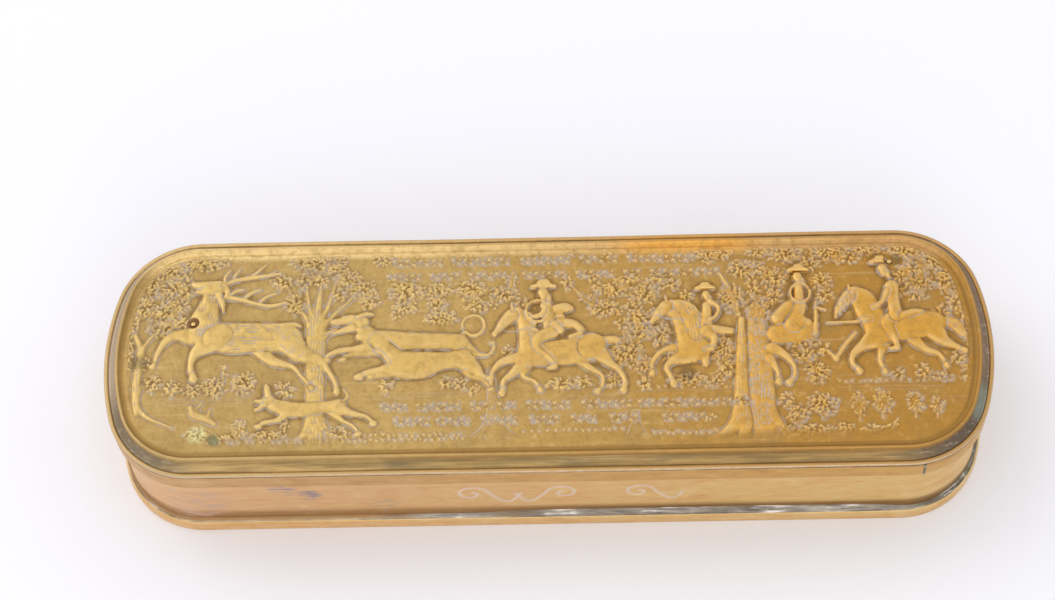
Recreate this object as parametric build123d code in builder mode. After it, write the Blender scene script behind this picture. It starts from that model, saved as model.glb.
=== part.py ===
from build123d import *
from math import atan2, cos, degrees, radians, sin, sqrt
import os

# Oblong hinged brass and copper box with a stamped lid, millimetres.
# +X runs along the box, -Y is the front, +Z is up. The origin is the middle
# of the underside. An "inset" is a distance inward from the edge of the lid's
# lip, measured square to that edge, so every layer has the same plan curve.

# --- plan of the lid's lip: straight sides, round corners, bowed ends ---
LENGTH = 160.0
WIDTH = 48.0
CORNER_R = 15.5
END_R = 47.0

# --- base pan and the wall that stands in it ---
RIM_INSET = 0.2
RIM_T = 0.6
RIM_HEIGHT = 2.9
FLOOR_T = 0.7
FOOT_HEIGHT = 1.1        # plain lower band of the rim, under its rolled bead
FOOT_SETBACK = 0.15
RIM_EDGE_SETBACK = 0.2   # top outer edge of the rolled bead
WALL_INSET = 1.2
WALL_T = 0.8
WALL_TOP = 22.0
BASE_FILLET_TOP = 3.6    # where the solder fillet ends on the wall
BASE_FILLET_MIDDLE = (0.85, 3.15)

# --- lid: skirt band, lip, cove, ridge and field ---
SKIRT_INSET = 0.2
SKIRT_T = 0.6
SKIRT_BOTTOM = 17.9
LIP_BOTTOM = 22.1
LIP_TOP = 22.8
CREST_TOP = 25.0
FIELD_TOP = 24.8
FIELD_BOTTOM = 24.2
FIELD_INSET = 4.2
LIP_SOLDER_OUT = 0.15    # how far the outer fillet stands off the skirt
LIP_SOLDER_DROP = 0.35
INNER_SOLDER_W = 0.25
INNER_SOLDER_DROP = 0.3

# --- the lid plate's section: arcs through three (inset, z) points each ---
LIP_EDGE = [(0.35, LIP_BOTTOM), (0, 22.45), (0.35, LIP_TOP)]
LIP_TURN = [(0.6, LIP_TOP), (0.82, 22.68), (0.9, 22.45)]
COVE = [(0.9, 22.45), (1.92, 23.41), (2.35, 24.75)]
RIDGE = [(2.35, 24.75), (2.65, CREST_TOP), (2.95, 24.75)]
RIDGE_FOOT = [(2.95, 24.75), (3.4, 24.55), (FIELD_INSET, FIELD_TOP)]
UNDER_RIDGE = [(3.0, FIELD_BOTTOM), (2.38, 23.12), (1.5, LIP_BOTTOM)]

# --- seams of the bent strips ---
SEAM_GAP = 0.4
SKIRT_SEAM_ANGLE = 11.0  # round the skirt's front right corner, from its start
SKIRT_SEAM_PROUD = 0.12
WALL_SEAM_X = -58.0      # in the rear run of the wall, beside the hinge

# --- hinge across the back ---
HINGE_Y = 24.6
HINGE_Z = 16.7
KNUCKLE_R = 1.2
PIN_R = 0.55
PIN_FIT = 0.03           # radial clearance round the pin
KNUCKLE_COUNT = 7
KNUCKLE_LENGTH = 14.0
KNUCKLE_GAP = 0.3
LEAF_T = 0.5
LID_LEAF_TOP = 21.3
LID_LEAF_BOTTOM = 18.15
BODY_LEAF_BOTTOM = 9.0
BODY_LEAF_TOP = 14.9
LEAF_BEAD = 0.4          # leg of the solder bead along each leaf
STRAP_CLEARANCE = 0.2    # between the pin's hole and the straight part of a strap
STRAP_LAP = 0.1
CRANK_LAP = 0.4          # how far the body's straps start below their leaf's top
CRANK_RISE = 0.2
CRANK_DROP = 0.9         # where the crank turns up again, below the hinge axis
PIN_HEAD_R = 0.85
PIN_HEAD_L = 0.6
PIN_HEAD_TAPER = 20.0

# --- small rivets that plug the lid's field ---
RIVET_R = 0.55
RIVET_HEAD_R = 0.9
RIVET_HEAD_T = 0.25
RIVET_PLACES = [(-63.8, 5.8), (62.3, 16.0)]

# --- worked out from the dimensions above ---
END_X = LENGTH / 2 - END_R
CORNER_Y = WIDTH / 2 - CORNER_R
CORNER_X = END_X + sqrt((END_R - CORNER_R) ** 2 - CORNER_Y**2)
BLEND_ANGLE = degrees(atan2(CORNER_Y, CORNER_X - END_X))
WALL_BACK = WIDTH / 2 - WALL_INSET
SKIRT_BACK = WIDTH / 2 - SKIRT_INSET
HINGE_PITCH = KNUCKLE_LENGTH + KNUCKLE_GAP
HINGE_LENGTH = KNUCKLE_COUNT * HINGE_PITCH - KNUCKLE_GAP
KNUCKLE_STARTS = [i * HINGE_PITCH - HINGE_LENGTH / 2 for i in range(KNUCKLE_COUNT)]
BODY_KNUCKLES = KNUCKLE_STARTS[0::2]
LID_KNUCKLES = KNUCKLE_STARTS[1::2]


def plan_curve(inset):
    """Draw the closed plan curve at an inset, from the middle of the front."""
    front = inset - WIDTH / 2
    corner_r = CORNER_R - inset
    end_r = END_R - inset
    turn = 90 - BLEND_ANGLE
    Line((0, front), (CORNER_X, front))
    CenterArc((CORNER_X, -CORNER_Y), corner_r, -90, turn)
    CenterArc((END_X, 0), end_r, -BLEND_ANGLE, 2 * BLEND_ANGLE)
    CenterArc((CORNER_X, CORNER_Y), corner_r, BLEND_ANGLE, turn)
    Line((CORNER_X, -front), (-CORNER_X, -front))
    CenterArc((-CORNER_X, CORNER_Y), corner_r, 90, turn)
    CenterArc((-END_X, 0), end_r, 180 - BLEND_ANGLE, 2 * BLEND_ANGLE)
    CenterArc((-CORNER_X, -CORNER_Y), corner_r, 180 + BLEND_ANGLE, turn)
    Line((-CORNER_X, front), (0, front))


def plan_slab(inset, bottom, top, mode=Mode.ADD):
    """Extrude the filled plan at an inset between two heights."""
    with BuildSketch(Plane.XY.offset(bottom)) as slab:
        with BuildLine():
            plan_curve(inset)
        make_face()
    extrude(slab.sketch, amount=top - bottom, mode=mode)


def plan_band(outer, inner, bottom, top):
    """Extrude the band between two insets."""
    with BuildSketch(Plane.XY.offset(bottom)) as band:
        with BuildLine():
            plan_curve(outer)
        make_face()
        with BuildLine():
            plan_curve(inner)
        make_face(mode=Mode.SUBTRACT)
    extrude(band.sketch, amount=top - bottom)


# Section plane at the middle of the front: local x is the inset, local y is z.
SECTION = Plane(origin=(0, -WIDTH / 2, 0), x_dir=(0, 1, 0), z_dir=(1, 0, 0))
with BuildLine() as lip_edge:
    plan_curve(0)
LIP_PATH = lip_edge.wire()


def sweep_polygon(points):
    """Carry a small straight-sided section of (inset, z) points round the box."""
    with BuildSketch(SECTION) as section:
        with BuildLine():
            Polyline(*points, close=True)
        make_face()
    sweep(section.sketch, path=LIP_PATH)


def seam_slot(place, mode):
    """A tall narrow block across a strip, where the strip's two ends meet."""
    with BuildSketch(Plane.XY) as slot:
        with Locations(place):
            Rectangle(SEAM_GAP, WIDTH / 4)
    extrude(slot.sketch, amount=CREST_TOP, mode=mode)


WALL_SEAM = Location((WALL_SEAM_X, WIDTH / 2, 0))
SKIRT_SEAM = Location(
    (
        CORNER_X + CORNER_R * sin(radians(SKIRT_SEAM_ANGLE)),
        -CORNER_Y - CORNER_R * cos(radians(SKIRT_SEAM_ANGLE)),
        0,
    ),
    (0, 0, SKIRT_SEAM_ANGLE),
)


def hinge_section(x):
    """Section plane of the hinge at a place along it: local x is y, local y is z."""
    return Plane(origin=(x, 0, 0), x_dir=(0, 1, 0), z_dir=(1, 0, 0))


# ---------------------------------------------------------------- box body

# Stamped base: a flat floor and a rolled rim over a slightly narrower foot.
with BuildPart() as base_pan:
    with BuildSketch(SECTION):
        with BuildLine():
            foot = RIM_INSET + FOOT_SETBACK
            edge = RIM_INSET + RIM_EDGE_SETBACK
            inner = RIM_INSET + RIM_T
            roll = (RIM_HEIGHT - FOOT_HEIGHT) / 2
            Line((FIELD_INSET, 0), (foot, 0))
            Line((foot, 0), (foot, FOOT_HEIGHT))
            ThreePointArc(
                (foot, FOOT_HEIGHT),
                (RIM_INSET, FOOT_HEIGHT + roll),
                (edge, RIM_HEIGHT),
            )
            Line((edge, RIM_HEIGHT), (inner, RIM_HEIGHT))
            Line((inner, RIM_HEIGHT), (inner, FLOOR_T))
            Line((inner, FLOOR_T), (FIELD_INSET, FLOOR_T))
            Line((FIELD_INSET, FLOOR_T), (FIELD_INSET, 0))
        make_face()
    sweep(path=LIP_PATH)
    plan_slab(FIELD_INSET, 0, FLOOR_T)

# Copper strip bent round on edge, its ends meeting at a narrow seam.
with BuildPart() as side_wall:
    plan_band(WALL_INSET, WALL_INSET + WALL_T, FLOOR_T, WALL_TOP)
    seam_slot(WALL_SEAM, Mode.SUBTRACT)

with BuildPart() as wall_seam_solder:
    plan_band(WALL_INSET, WALL_INSET + WALL_T, FLOOR_T, WALL_TOP)
    seam_slot(WALL_SEAM, Mode.INTERSECT)

# Solder that fills the base's rim and climbs the wall in a hollow fillet.
with BuildPart() as base_joint_solder:
    with BuildSketch(SECTION):
        with BuildLine():
            rim_edge = RIM_INSET + RIM_EDGE_SETBACK
            rim_inner = RIM_INSET + RIM_T
            Line((rim_inner, FLOOR_T), (rim_inner, RIM_HEIGHT))
            Line((rim_inner, RIM_HEIGHT), (rim_edge, RIM_HEIGHT))
            ThreePointArc(
                (rim_edge, RIM_HEIGHT), BASE_FILLET_MIDDLE, (WALL_INSET, BASE_FILLET_TOP)
            )
            Line((WALL_INSET, BASE_FILLET_TOP), (WALL_INSET, FLOOR_T))
            Line((WALL_INSET, FLOOR_T), (rim_inner, FLOOR_T))
        make_face()
    sweep(path=LIP_PATH)

# ---------------------------------------------------------------- lid

# Stamped plate: a rolled lip, a hollow cove, a sharp ridge and a flat field.
with BuildPart() as lid_plate:
    with BuildSketch(SECTION):
        with BuildLine():
            Line((FIELD_INSET, FIELD_BOTTOM), UNDER_RIDGE[0])
            ThreePointArc(*UNDER_RIDGE)
            Line(UNDER_RIDGE[-1], LIP_EDGE[0])
            ThreePointArc(*LIP_EDGE)
            Line(LIP_EDGE[-1], LIP_TURN[0])
            ThreePointArc(*LIP_TURN)
            ThreePointArc(*COVE)
            ThreePointArc(*RIDGE)
            ThreePointArc(*RIDGE_FOOT)
            Line(RIDGE_FOOT[-1], (FIELD_INSET, FIELD_BOTTOM))
        make_face()
    sweep(path=LIP_PATH)
    plan_slab(FIELD_INSET, FIELD_BOTTOM, FIELD_TOP)
    with BuildSketch(Plane.XY.offset(FIELD_BOTTOM)):
        with Locations(*RIVET_PLACES):
            Circle(RIVET_R)
    extrude(amount=CREST_TOP - FIELD_BOTTOM, mode=Mode.SUBTRACT)

# Rivets that plug the two holes, flush above and headed underneath.
with BuildPart() as lid_rivets:
    with BuildSketch(Plane.XY.offset(FIELD_BOTTOM - RIVET_HEAD_T)):
        with Locations(*RIVET_PLACES):
            Circle(RIVET_HEAD_R)
    extrude(amount=RIVET_HEAD_T)
    with BuildSketch(Plane.XY.offset(FIELD_BOTTOM)):
        with Locations(*RIVET_PLACES):
            Circle(RIVET_R)
    extrude(amount=FIELD_TOP - FIELD_BOTTOM)

# Band under the plate that slides down over the wall, with its own seam.
with BuildPart() as lid_skirt:
    plan_band(SKIRT_INSET, SKIRT_INSET + SKIRT_T, SKIRT_BOTTOM, LIP_BOTTOM)
    seam_slot(SKIRT_SEAM, Mode.SUBTRACT)

# Solder that fills the skirt's seam and stands a little proud of the band.
with BuildPart() as skirt_seam_solder:
    proud = SKIRT_INSET - SKIRT_SEAM_PROUD
    plan_band(SKIRT_INSET, SKIRT_INSET + SKIRT_T, SKIRT_BOTTOM, LIP_BOTTOM)
    plan_band(proud, SKIRT_INSET, SKIRT_BOTTOM, LIP_BOTTOM - LIP_SOLDER_DROP)
    seam_slot(SKIRT_SEAM, Mode.INTERSECT)

# Solder that joins the skirt to the plate: a fillet outside and one inside.
with BuildPart() as lid_joint_solder:
    skirt_inner = SKIRT_INSET + SKIRT_T
    sweep_polygon([
        (SKIRT_INSET - LIP_SOLDER_OUT, LIP_BOTTOM),
        (SKIRT_INSET, LIP_BOTTOM - LIP_SOLDER_DROP),
        (SKIRT_INSET, LIP_BOTTOM),
    ])
    sweep_polygon([
        (skirt_inner, LIP_BOTTOM),
        (skirt_inner, LIP_BOTTOM - INNER_SOLDER_DROP),
        (skirt_inner + INNER_SOLDER_W, LIP_BOTTOM),
    ])

# ---------------------------------------------------------------- hinge

# Leaf sweated to the back of the skirt, rolled into every other knuckle.
with BuildPart() as lid_hinge_leaf:
    with BuildSketch(hinge_section(-HINGE_LENGTH / 2)):
        with Locations((SKIRT_BACK + LEAF_T / 2, (LID_LEAF_TOP + LID_LEAF_BOTTOM) / 2)):
            Rectangle(LEAF_T, LID_LEAF_TOP - LID_LEAF_BOTTOM)
    extrude(amount=HINGE_LENGTH)
    for start in LID_KNUCKLES:
        strap_bottom = HINGE_Z + PIN_R + STRAP_CLEARANCE
        strap_top = LID_LEAF_BOTTOM + STRAP_LAP
        with BuildSketch(hinge_section(start)):
            with Locations((HINGE_Y, HINGE_Z)):
                Circle(KNUCKLE_R)
            with Locations((SKIRT_BACK + LEAF_T / 2, (strap_top + strap_bottom) / 2)):
                Rectangle(LEAF_T, strap_top - strap_bottom)
            with Locations((HINGE_Y, HINGE_Z)):
                Circle(PIN_R + PIN_FIT, mode=Mode.SUBTRACT)
        extrude(amount=KNUCKLE_LENGTH)

# Leaf sweated to the back of the wall, cranked out to the other knuckles.
with BuildPart() as body_hinge_leaf:
    with BuildSketch(hinge_section(-HINGE_LENGTH / 2)):
        with Locations((WALL_BACK + LEAF_T / 2, (BODY_LEAF_TOP + BODY_LEAF_BOTTOM) / 2)):
            Rectangle(LEAF_T, BODY_LEAF_TOP - BODY_LEAF_BOTTOM)
    extrude(amount=HINGE_LENGTH)
    for start in BODY_KNUCKLES:
        knuckle_front = HINGE_Y - KNUCKLE_R
        with BuildSketch(hinge_section(start)):
            with Locations((HINGE_Y, HINGE_Z)):
                Circle(KNUCKLE_R)
            with BuildLine():
                Polyline(
                    (WALL_BACK, BODY_LEAF_TOP - CRANK_LAP),
                    (WALL_BACK + LEAF_T, BODY_LEAF_TOP - CRANK_LAP),
                    (knuckle_front + LEAF_T, HINGE_Z - CRANK_DROP),
                    (knuckle_front + LEAF_T, HINGE_Z),
                    (knuckle_front, HINGE_Z),
                    (knuckle_front, HINGE_Z - CRANK_DROP + CRANK_RISE),
                    (WALL_BACK, BODY_LEAF_TOP + CRANK_RISE),
                    close=True,
                )
            make_face()
            with Locations((HINGE_Y, HINGE_Z)):
                Circle(PIN_R + PIN_FIT, mode=Mode.SUBTRACT)
        extrude(amount=KNUCKLE_LENGTH)

# Wire pin through all the knuckles, with both ends peened over.
with BuildPart() as hinge_pin:
    with BuildSketch(hinge_section(-HINGE_LENGTH / 2)):
        with Locations((HINGE_Y, HINGE_Z)):
            Circle(PIN_R)
    extrude(amount=HINGE_LENGTH)
    for end, way in ((-HINGE_LENGTH / 2, -1), (HINGE_LENGTH / 2, 1)):
        with BuildSketch(hinge_section(end)):
            with Locations((HINGE_Y, HINGE_Z)):
                Circle(PIN_HEAD_R)
        extrude(amount=way * PIN_HEAD_L, taper=PIN_HEAD_TAPER)

# Solder beads along the free edge of each leaf.
with BuildPart() as lid_leaf_solder:
    with BuildSketch(hinge_section(-HINGE_LENGTH / 2)):
        with BuildLine():
            Polyline(
                (SKIRT_BACK, LID_LEAF_TOP),
                (SKIRT_BACK + LEAF_BEAD, LID_LEAF_TOP),
                (SKIRT_BACK, LID_LEAF_TOP + LEAF_BEAD),
                close=True,
            )
        make_face()
    extrude(amount=HINGE_LENGTH)

with BuildPart() as body_leaf_solder:
    with BuildSketch(hinge_section(-HINGE_LENGTH / 2)):
        with BuildLine():
            Polyline(
                (WALL_BACK, BODY_LEAF_BOTTOM),
                (WALL_BACK + LEAF_BEAD, BODY_LEAF_BOTTOM),
                (WALL_BACK, BODY_LEAF_BOTTOM - LEAF_BEAD),
                close=True,
            )
        make_face()
    extrude(amount=HINGE_LENGTH)

# ---------------------------------------------------------------- files

pieces = {
    "base_pan": base_pan,
    "side_wall": side_wall,
    "wall_seam_solder": wall_seam_solder,
    "base_joint_solder": base_joint_solder,
    "lid_plate": lid_plate,
    "lid_rivets": lid_rivets,
    "lid_skirt": lid_skirt,
    "skirt_seam_solder": skirt_seam_solder,
    "lid_joint_solder": lid_joint_solder,
    "lid_hinge_leaf": lid_hinge_leaf,
    "body_hinge_leaf": body_hinge_leaf,
    "hinge_pin": hinge_pin,
    "lid_leaf_solder": lid_leaf_solder,
    "body_leaf_solder": body_leaf_solder,
}

os.makedirs("parts", exist_ok=True)
for name, piece in pieces.items():
    piece.part.label = name
    export_step(piece.part, f"parts/{name}.step")
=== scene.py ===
import math

import bpy
import numpy as np
from mathutils import Matrix, Vector


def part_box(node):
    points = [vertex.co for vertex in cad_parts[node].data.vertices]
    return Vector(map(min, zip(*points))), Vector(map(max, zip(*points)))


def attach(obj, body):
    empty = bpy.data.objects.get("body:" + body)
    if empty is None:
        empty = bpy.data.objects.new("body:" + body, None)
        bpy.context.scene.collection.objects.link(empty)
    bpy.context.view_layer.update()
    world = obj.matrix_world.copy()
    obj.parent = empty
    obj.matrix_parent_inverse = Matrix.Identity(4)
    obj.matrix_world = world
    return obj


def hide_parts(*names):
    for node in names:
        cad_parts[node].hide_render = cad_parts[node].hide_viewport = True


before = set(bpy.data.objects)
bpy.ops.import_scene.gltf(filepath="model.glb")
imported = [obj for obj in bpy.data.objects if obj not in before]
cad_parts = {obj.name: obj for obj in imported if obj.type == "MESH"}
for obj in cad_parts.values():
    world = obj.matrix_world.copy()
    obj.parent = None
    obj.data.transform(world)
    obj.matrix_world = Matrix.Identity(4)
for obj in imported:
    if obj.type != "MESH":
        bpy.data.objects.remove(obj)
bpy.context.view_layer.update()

# The box's own sizes are in millimetres here, as in the CAD, and meshes are
# scaled to metres when they are made. An inset is a distance inward from the
# edge of the lid's lip, square to that edge.
MM = 0.001


# ------------------------------------------------------------------ plan curve

LID_LOW, LID_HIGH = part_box("lid_plate")
_, WALL_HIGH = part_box("side_wall")
SKIRT_LOW, SKIRT_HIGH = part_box("lid_skirt")

LENGTH = round(2 * LID_HIGH.x / MM)
WIDTH = round(2 * LID_HIGH.y / MM)
CORNER_R = 15.5
END_R = 47.0
END_X = LENGTH / 2 - END_R
CORNER_Y = WIDTH / 2 - CORNER_R
CORNER_X = END_X + math.sqrt((END_R - CORNER_R) ** 2 - CORNER_Y**2)
BLEND = math.atan2(CORNER_Y, CORNER_X - END_X)

LIP_BOTTOM = LID_LOW.z / MM
CREST_TOP = LID_HIGH.z / MM
FIELD_TOP = CREST_TOP - 0.2
SHEET_T = 0.6
FIELD_INSET = 4.2


def plan_segments(inset):
    """The plan curve's runs at an inset, each as (length, start, heading, radius).

    A straight run has no radius. An arc's start is its centre and its heading
    is the angle it starts at. The curve starts at the middle of the front.
    """
    front = inset - WIDTH / 2
    corner, end = CORNER_R - inset, END_R - inset
    turn = math.pi / 2 - BLEND
    quarter = math.pi / 2
    return [
        (CORNER_X, (0, front), 0, None),
        (corner * turn, (CORNER_X, -CORNER_Y), -quarter, corner),
        (end * 2 * BLEND, (END_X, 0), -BLEND, end),
        (corner * turn, (CORNER_X, CORNER_Y), BLEND, corner),
        (2 * CORNER_X, (CORNER_X, -front), math.pi, None),
        (corner * turn, (-CORNER_X, CORNER_Y), quarter, corner),
        (end * 2 * BLEND, (-END_X, 0), math.pi - BLEND, end),
        (corner * turn, (-CORNER_X, -CORNER_Y), math.pi + BLEND, corner),
        (CORNER_X, (-CORNER_X, front), 0, None),
    ]


def plan_length(inset):
    """Length of the plan curve at an inset."""
    return sum(run[0] for run in plan_segments(inset))


def plan_points(inset, places):
    """Points at distances along the plan curve, and the inward normals there."""
    places = np.mod(places, plan_length(inset))
    points = np.zeros((len(places), 2))
    normals = np.zeros((len(places), 2))
    start = 0.0
    for length, origin, heading, radius in plan_segments(inset):
        here = (places >= start) & (places <= start + length)
        along = places[here] - start
        if radius is None:
            way = np.array([math.cos(heading), math.sin(heading)])
            points[here] = np.array(origin) + along[:, None] * way
            normals[here] = (-way[1], way[0])
        else:
            angle = heading + along / radius
            out = np.stack([np.cos(angle), np.sin(angle)], axis=1)
            points[here] = np.array(origin) + radius * out
            normals[here] = -out
        start += length
    return points, normals


def plan_inset(x, y):
    """How far inside the lip's edge each point of the lid lies."""
    x, y = np.abs(x), np.abs(y)
    side = WIDTH / 2 - y
    corner = CORNER_R - np.hypot(x - CORNER_X, y - CORNER_Y)
    end = END_R - np.hypot(x - END_X, y)
    in_end = np.arctan2(y, np.maximum(x - END_X, 1e-6)) < BLEND
    return np.where((x < CORNER_X) & ~in_end, side, np.where(in_end, end, corner))


# ------------------------------------------------------------------ relief tools

GRID = 0.1             # spacing of the relief's height grid
HALF_X, HALF_Y = 76.2, 20.2
GX, GY = np.meshgrid(
    np.arange(-HALF_X, HALF_X + GRID, GRID), np.arange(-HALF_Y, HALF_Y + GRID, GRID)
)
height = np.zeros_like(GX)    # above the field
grime = np.zeros_like(GX)     # pale deposit caught against the edges
SEED = np.random.default_rng(1760)


def noise(scale, seed):
    """Smooth noise from -1 to 1 over the grid, its lumps about scale wide."""
    rng = np.random.default_rng(seed)
    u, v = (GX + HALF_X) / scale, (GY + HALF_Y) / scale
    lattice = rng.uniform(-1, 1, (int(v.max()) + 3, int(u.max()) + 3))
    i, j = u.astype(int), v.astype(int)
    a, b = u - i, v - j
    a, b = a * a * (3 - 2 * a), b * b * (3 - 2 * b)
    low = lattice[j, i] * (1 - a) + lattice[j, i + 1] * a
    high = lattice[j + 1, i] * (1 - a) + lattice[j + 1, i + 1] * a
    return low * (1 - b) + high * b


def blur(field, radius):
    """A soft blur, by three running means in each direction."""
    half = max(1, int(round(radius / GRID)))
    width = 2 * half + 1
    for _ in range(3):
        for axis in (0, 1):
            pads = [(0, 0), (0, 0)]
            pads[axis] = (half + 1, half)
            total = np.cumsum(np.pad(field, pads, mode="edge"), axis=axis)
            high = np.take(total, range(width, total.shape[axis]), axis=axis)
            low = np.take(total, range(0, total.shape[axis] - width), axis=axis)
            field = (high - low) / width
    return field


FLATTEN = 0.52         # how quickly every shape reaches its flat top
RELIEF = 0.72          # the whole picture is this much lower than it is drawn
MARGIN = 0.9           # of grid worked round a shape
RIM = 0.09             # width of the deposit left just inside an edge
CUT_REACH = 0.2        # width of the cut line outside an edge
MERGE_FROM, MERGE_OVER = 0.35, 0.25    # heights over which a shape flows into its body
LEAF_ROW = 0.86        # spacing of rows of leaves, to that of leaves in a row
LEAF_DRIFT = 0.42      # how far a leaf strays from its place
BARK_MARKS = 330       # on the great tree
FADE_FROM, FADE_OVER = 0.15, 0.7       # the picture's border, inside the field
WORN_EDGE, WORN_DEPTH = 19.6, 2.4      # the picture is rubbed low along its front
SEAT_R, SEAT_SOFT, SEAT_DEPTH = 1.15, 0.3, 0.05    # the hollow round each rivet
WOBBLE = noise(1.3, 5)
BREAKS = noise(0.9, 6)
GRAIN = noise(0.35, 7)


def window(points, margin):
    """The part of the grid round some points, as a pair of slices."""
    points = np.asarray(points, float)
    low = points[:, :2].min(0) - margin
    high = points[:, :2].max(0) + margin
    i0 = max(0, int((low[0] + HALF_X) / GRID))
    i1 = max(0, int((high[0] + HALF_X) / GRID) + 2)
    j0 = max(0, int((low[1] + HALF_Y) / GRID))
    j1 = max(0, int((high[1] + HALF_Y) / GRID) + 2)
    return slice(j0, j1), slice(i0, i1)


def smooth(points, steps=5):
    """A limb's (x, y, radius) points with a smooth curve run through them."""
    p = np.asarray(points, float)
    if len(p) < 3:
        return p
    p = np.vstack([2 * p[0] - p[1], p, 2 * p[-1] - p[-2]])
    t = np.linspace(0, 1, steps, endpoint=False)[:, None]
    runs = []
    for a, b, c, d in zip(p, p[1:], p[2:], p[3:]):
        runs.append(0.5 * (2 * b + (c - a) * t + (2 * a - 5 * b + 4 * c - d) * t**2
                           + (3 * b - a - 3 * c + d) * t**3))
    curve = np.vstack([*runs, p[-2:-1]])
    curve[:, 2] = np.maximum(curve[:, 2], 0.08)
    return curve


def limb_depth(x, y, limb):
    """How deep each point lies in a tapered limb, and how far off its line."""
    depth = np.full(x.shape, -99.0)
    across = np.zeros(x.shape)
    for (x0, y0, r0), (x1, y1, r1) in zip(limb, limb[1:]):
        dx, dy = x1 - x0, y1 - y0
        span = math.hypot(dx, dy) + 1e-9
        t = np.clip(((x - x0) * dx + (y - y0) * dy) / span**2, 0, 1)
        here = r0 + (r1 - r0) * t - np.hypot(x - x0 - t * dx, y - y0 - t * dy)
        nearer = here > depth
        side = ((x - x0) * dy - (y - y0) * dx) / span
        across = np.where(nearer, side, across)
        depth = np.maximum(depth, here)
    return depth, across


def raise_shape(limbs, top, base=0.1, dome=0.7, cut=0.07, hair=0.0, spacing=0.5,
                edge=0.2, crown=0.03, merge=False, fuse=1.6, pale=1.0):
    """Raise one shape over what lies behind it, with a cut line round its edge.

    limbs are lists of (x, y, radius) points. hair is the depth of lines that
    run along the limbs, like fur, a mane or bark. A shape that merges flows out
    of the body that it starts on. fuse is how softly its limbs join, and pale
    is how much deposit lies round it.
    """
    limbs = [smooth(limb) for limb in limbs]
    where = window(np.vstack(limbs), max(limb[:, 2].max() for limb in limbs) + MARGIN)
    x, y = GX[where], GY[where]
    depth, across = limb_depth(x, y, limbs[0])
    for limb in limbs[1:]:
        other, aside = limb_depth(x, y, limb)
        across = np.where(other > depth, aside, across)
        blend = np.clip(0.5 + (other - depth) / fuse, 0, 1)
        depth = depth + (other - depth) * blend + 0.25 * fuse * blend * (1 - blend)
    inside = depth > 0
    rise = base + top * (1 - np.exp(-np.maximum(depth, 0) / (FLATTEN * dome)))
    rise += crown * depth
    if hair:
        wave = np.sin(2 * math.pi * across / spacing + 2.6 * WOBBLE[where])
        wave = (0.5 + 0.5 * wave) ** 2
        lines = np.clip(0.45 + 1.3 * BREAKS[where], 0, 1) * np.clip(depth / 0.5, 0, 1)
        rise -= hair * wave * lines
    h, g = height[where], grime[where]
    worn = pale * np.clip(0.72 + 0.5 * BREAKS[where], 0, 1)
    ring = np.exp(-(np.minimum(depth, 0) / edge) ** 2) * worn
    rim = np.exp(-(np.maximum(depth, 0) / RIM) ** 2) * worn
    over = 0.0
    if merge:
        over = np.clip((h - MERGE_FROM) / MERGE_OVER, 0, 1)
        gap = np.abs(h - rise)
        rise = np.maximum(h, rise) + 0.05 * np.exp(-gap / 0.08) * over
    outside = np.exp(-(np.minimum(depth, 0) / CUT_REACH) ** 2) * (1 - over)
    h[...] = np.where(inside, rise, h - cut * outside)
    g[...] = np.where(inside, np.where(over > 0.5, g, rim * 0.5),
                      np.maximum(g, ring * (1 - over)))
    if hair:
        fur = np.clip(5.5 * hair, 0, 0.9) * wave * lines
        g[...] = np.where(inside, np.maximum(g, fur), g)


def dot(x, y, radius, top=0.3, **options):
    """A single round boss."""
    raise_shape([[(x - 0.05, y, radius), (x + 0.05, y, radius)]], top, **options)


def groove(*lines, depth=0.12, width=0.16, pale=0.5):
    """Cut thin lines, each given as (x, y) points, into what is already raised."""
    for line in lines:
        points = smooth([(x, y, width) for x, y in line])
        where = window(points, 0.8)
        off, _ = limb_depth(GX[where], GY[where], points)
        mark = np.exp(-(np.minimum(off - width, 0) / width) ** 2)
        height[where] -= depth * mark
        grime[where] = np.maximum(grime[where], pale * mark)


def foliage(x, y, rx, ry, leaf=0.54, mound=0.18, lift=0.1, pitch=0.52):
    """A low mound of small pointed leaves that fills an ellipse, ragged at its edge."""
    rows = int(ry / pitch / LEAF_ROW) + 1
    for row in range(-rows, rows + 1):
        for col in range(int(-rx / pitch) - 1, int(rx / pitch) + 2):
            shift, drift, turn, size, drop = SEED.uniform(-1, 1, 5)
            px = x + (col + 0.5 * (row % 2) + LEAF_DRIFT * shift) * pitch
            py = y + (row * LEAF_ROW + LEAF_DRIFT * drift) * pitch
            r = math.hypot((px - x) / rx, (py - y) / ry)
            if r > 0.98 + 0.2 * turn or abs(drop) > 0.96:
                continue
            way = math.atan2(py - y, px - x) + 1.1 * turn
            reach = leaf * (1 + 0.35 * size)
            dx, dy = reach * math.cos(way), reach * math.sin(way)
            raise_shape([[(px, py, 0.2), (px + 0.5 * dx, py + 0.5 * dy, 0.26),
                          (px + dx, py + dy, 0.09)]],
                        0.24 + 0.1 * size, dome=0.2, cut=0.05, edge=0.12, crown=0.1,
                        base=lift + mound * max(0, 1 - r * r), pale=0.4 + 0.6 * r)


def tree(trunk, crowns, bark=0.14, top=0.4):
    """A trunk with bark, and clusters of leaves given as (x, y, rx, ry)."""
    raise_shape(trunk, top, hair=bark, spacing=0.55, dome=0.6)
    for crown in crowns:
        foliage(*crown)


def shrub(x, y, size):
    """A low bush on a short stem."""
    raise_shape([[(x, y - size * 1.15, 0.35), (x, y, 0.25)]], 0.25)
    foliage(x, y, size, size * 0.9)


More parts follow.
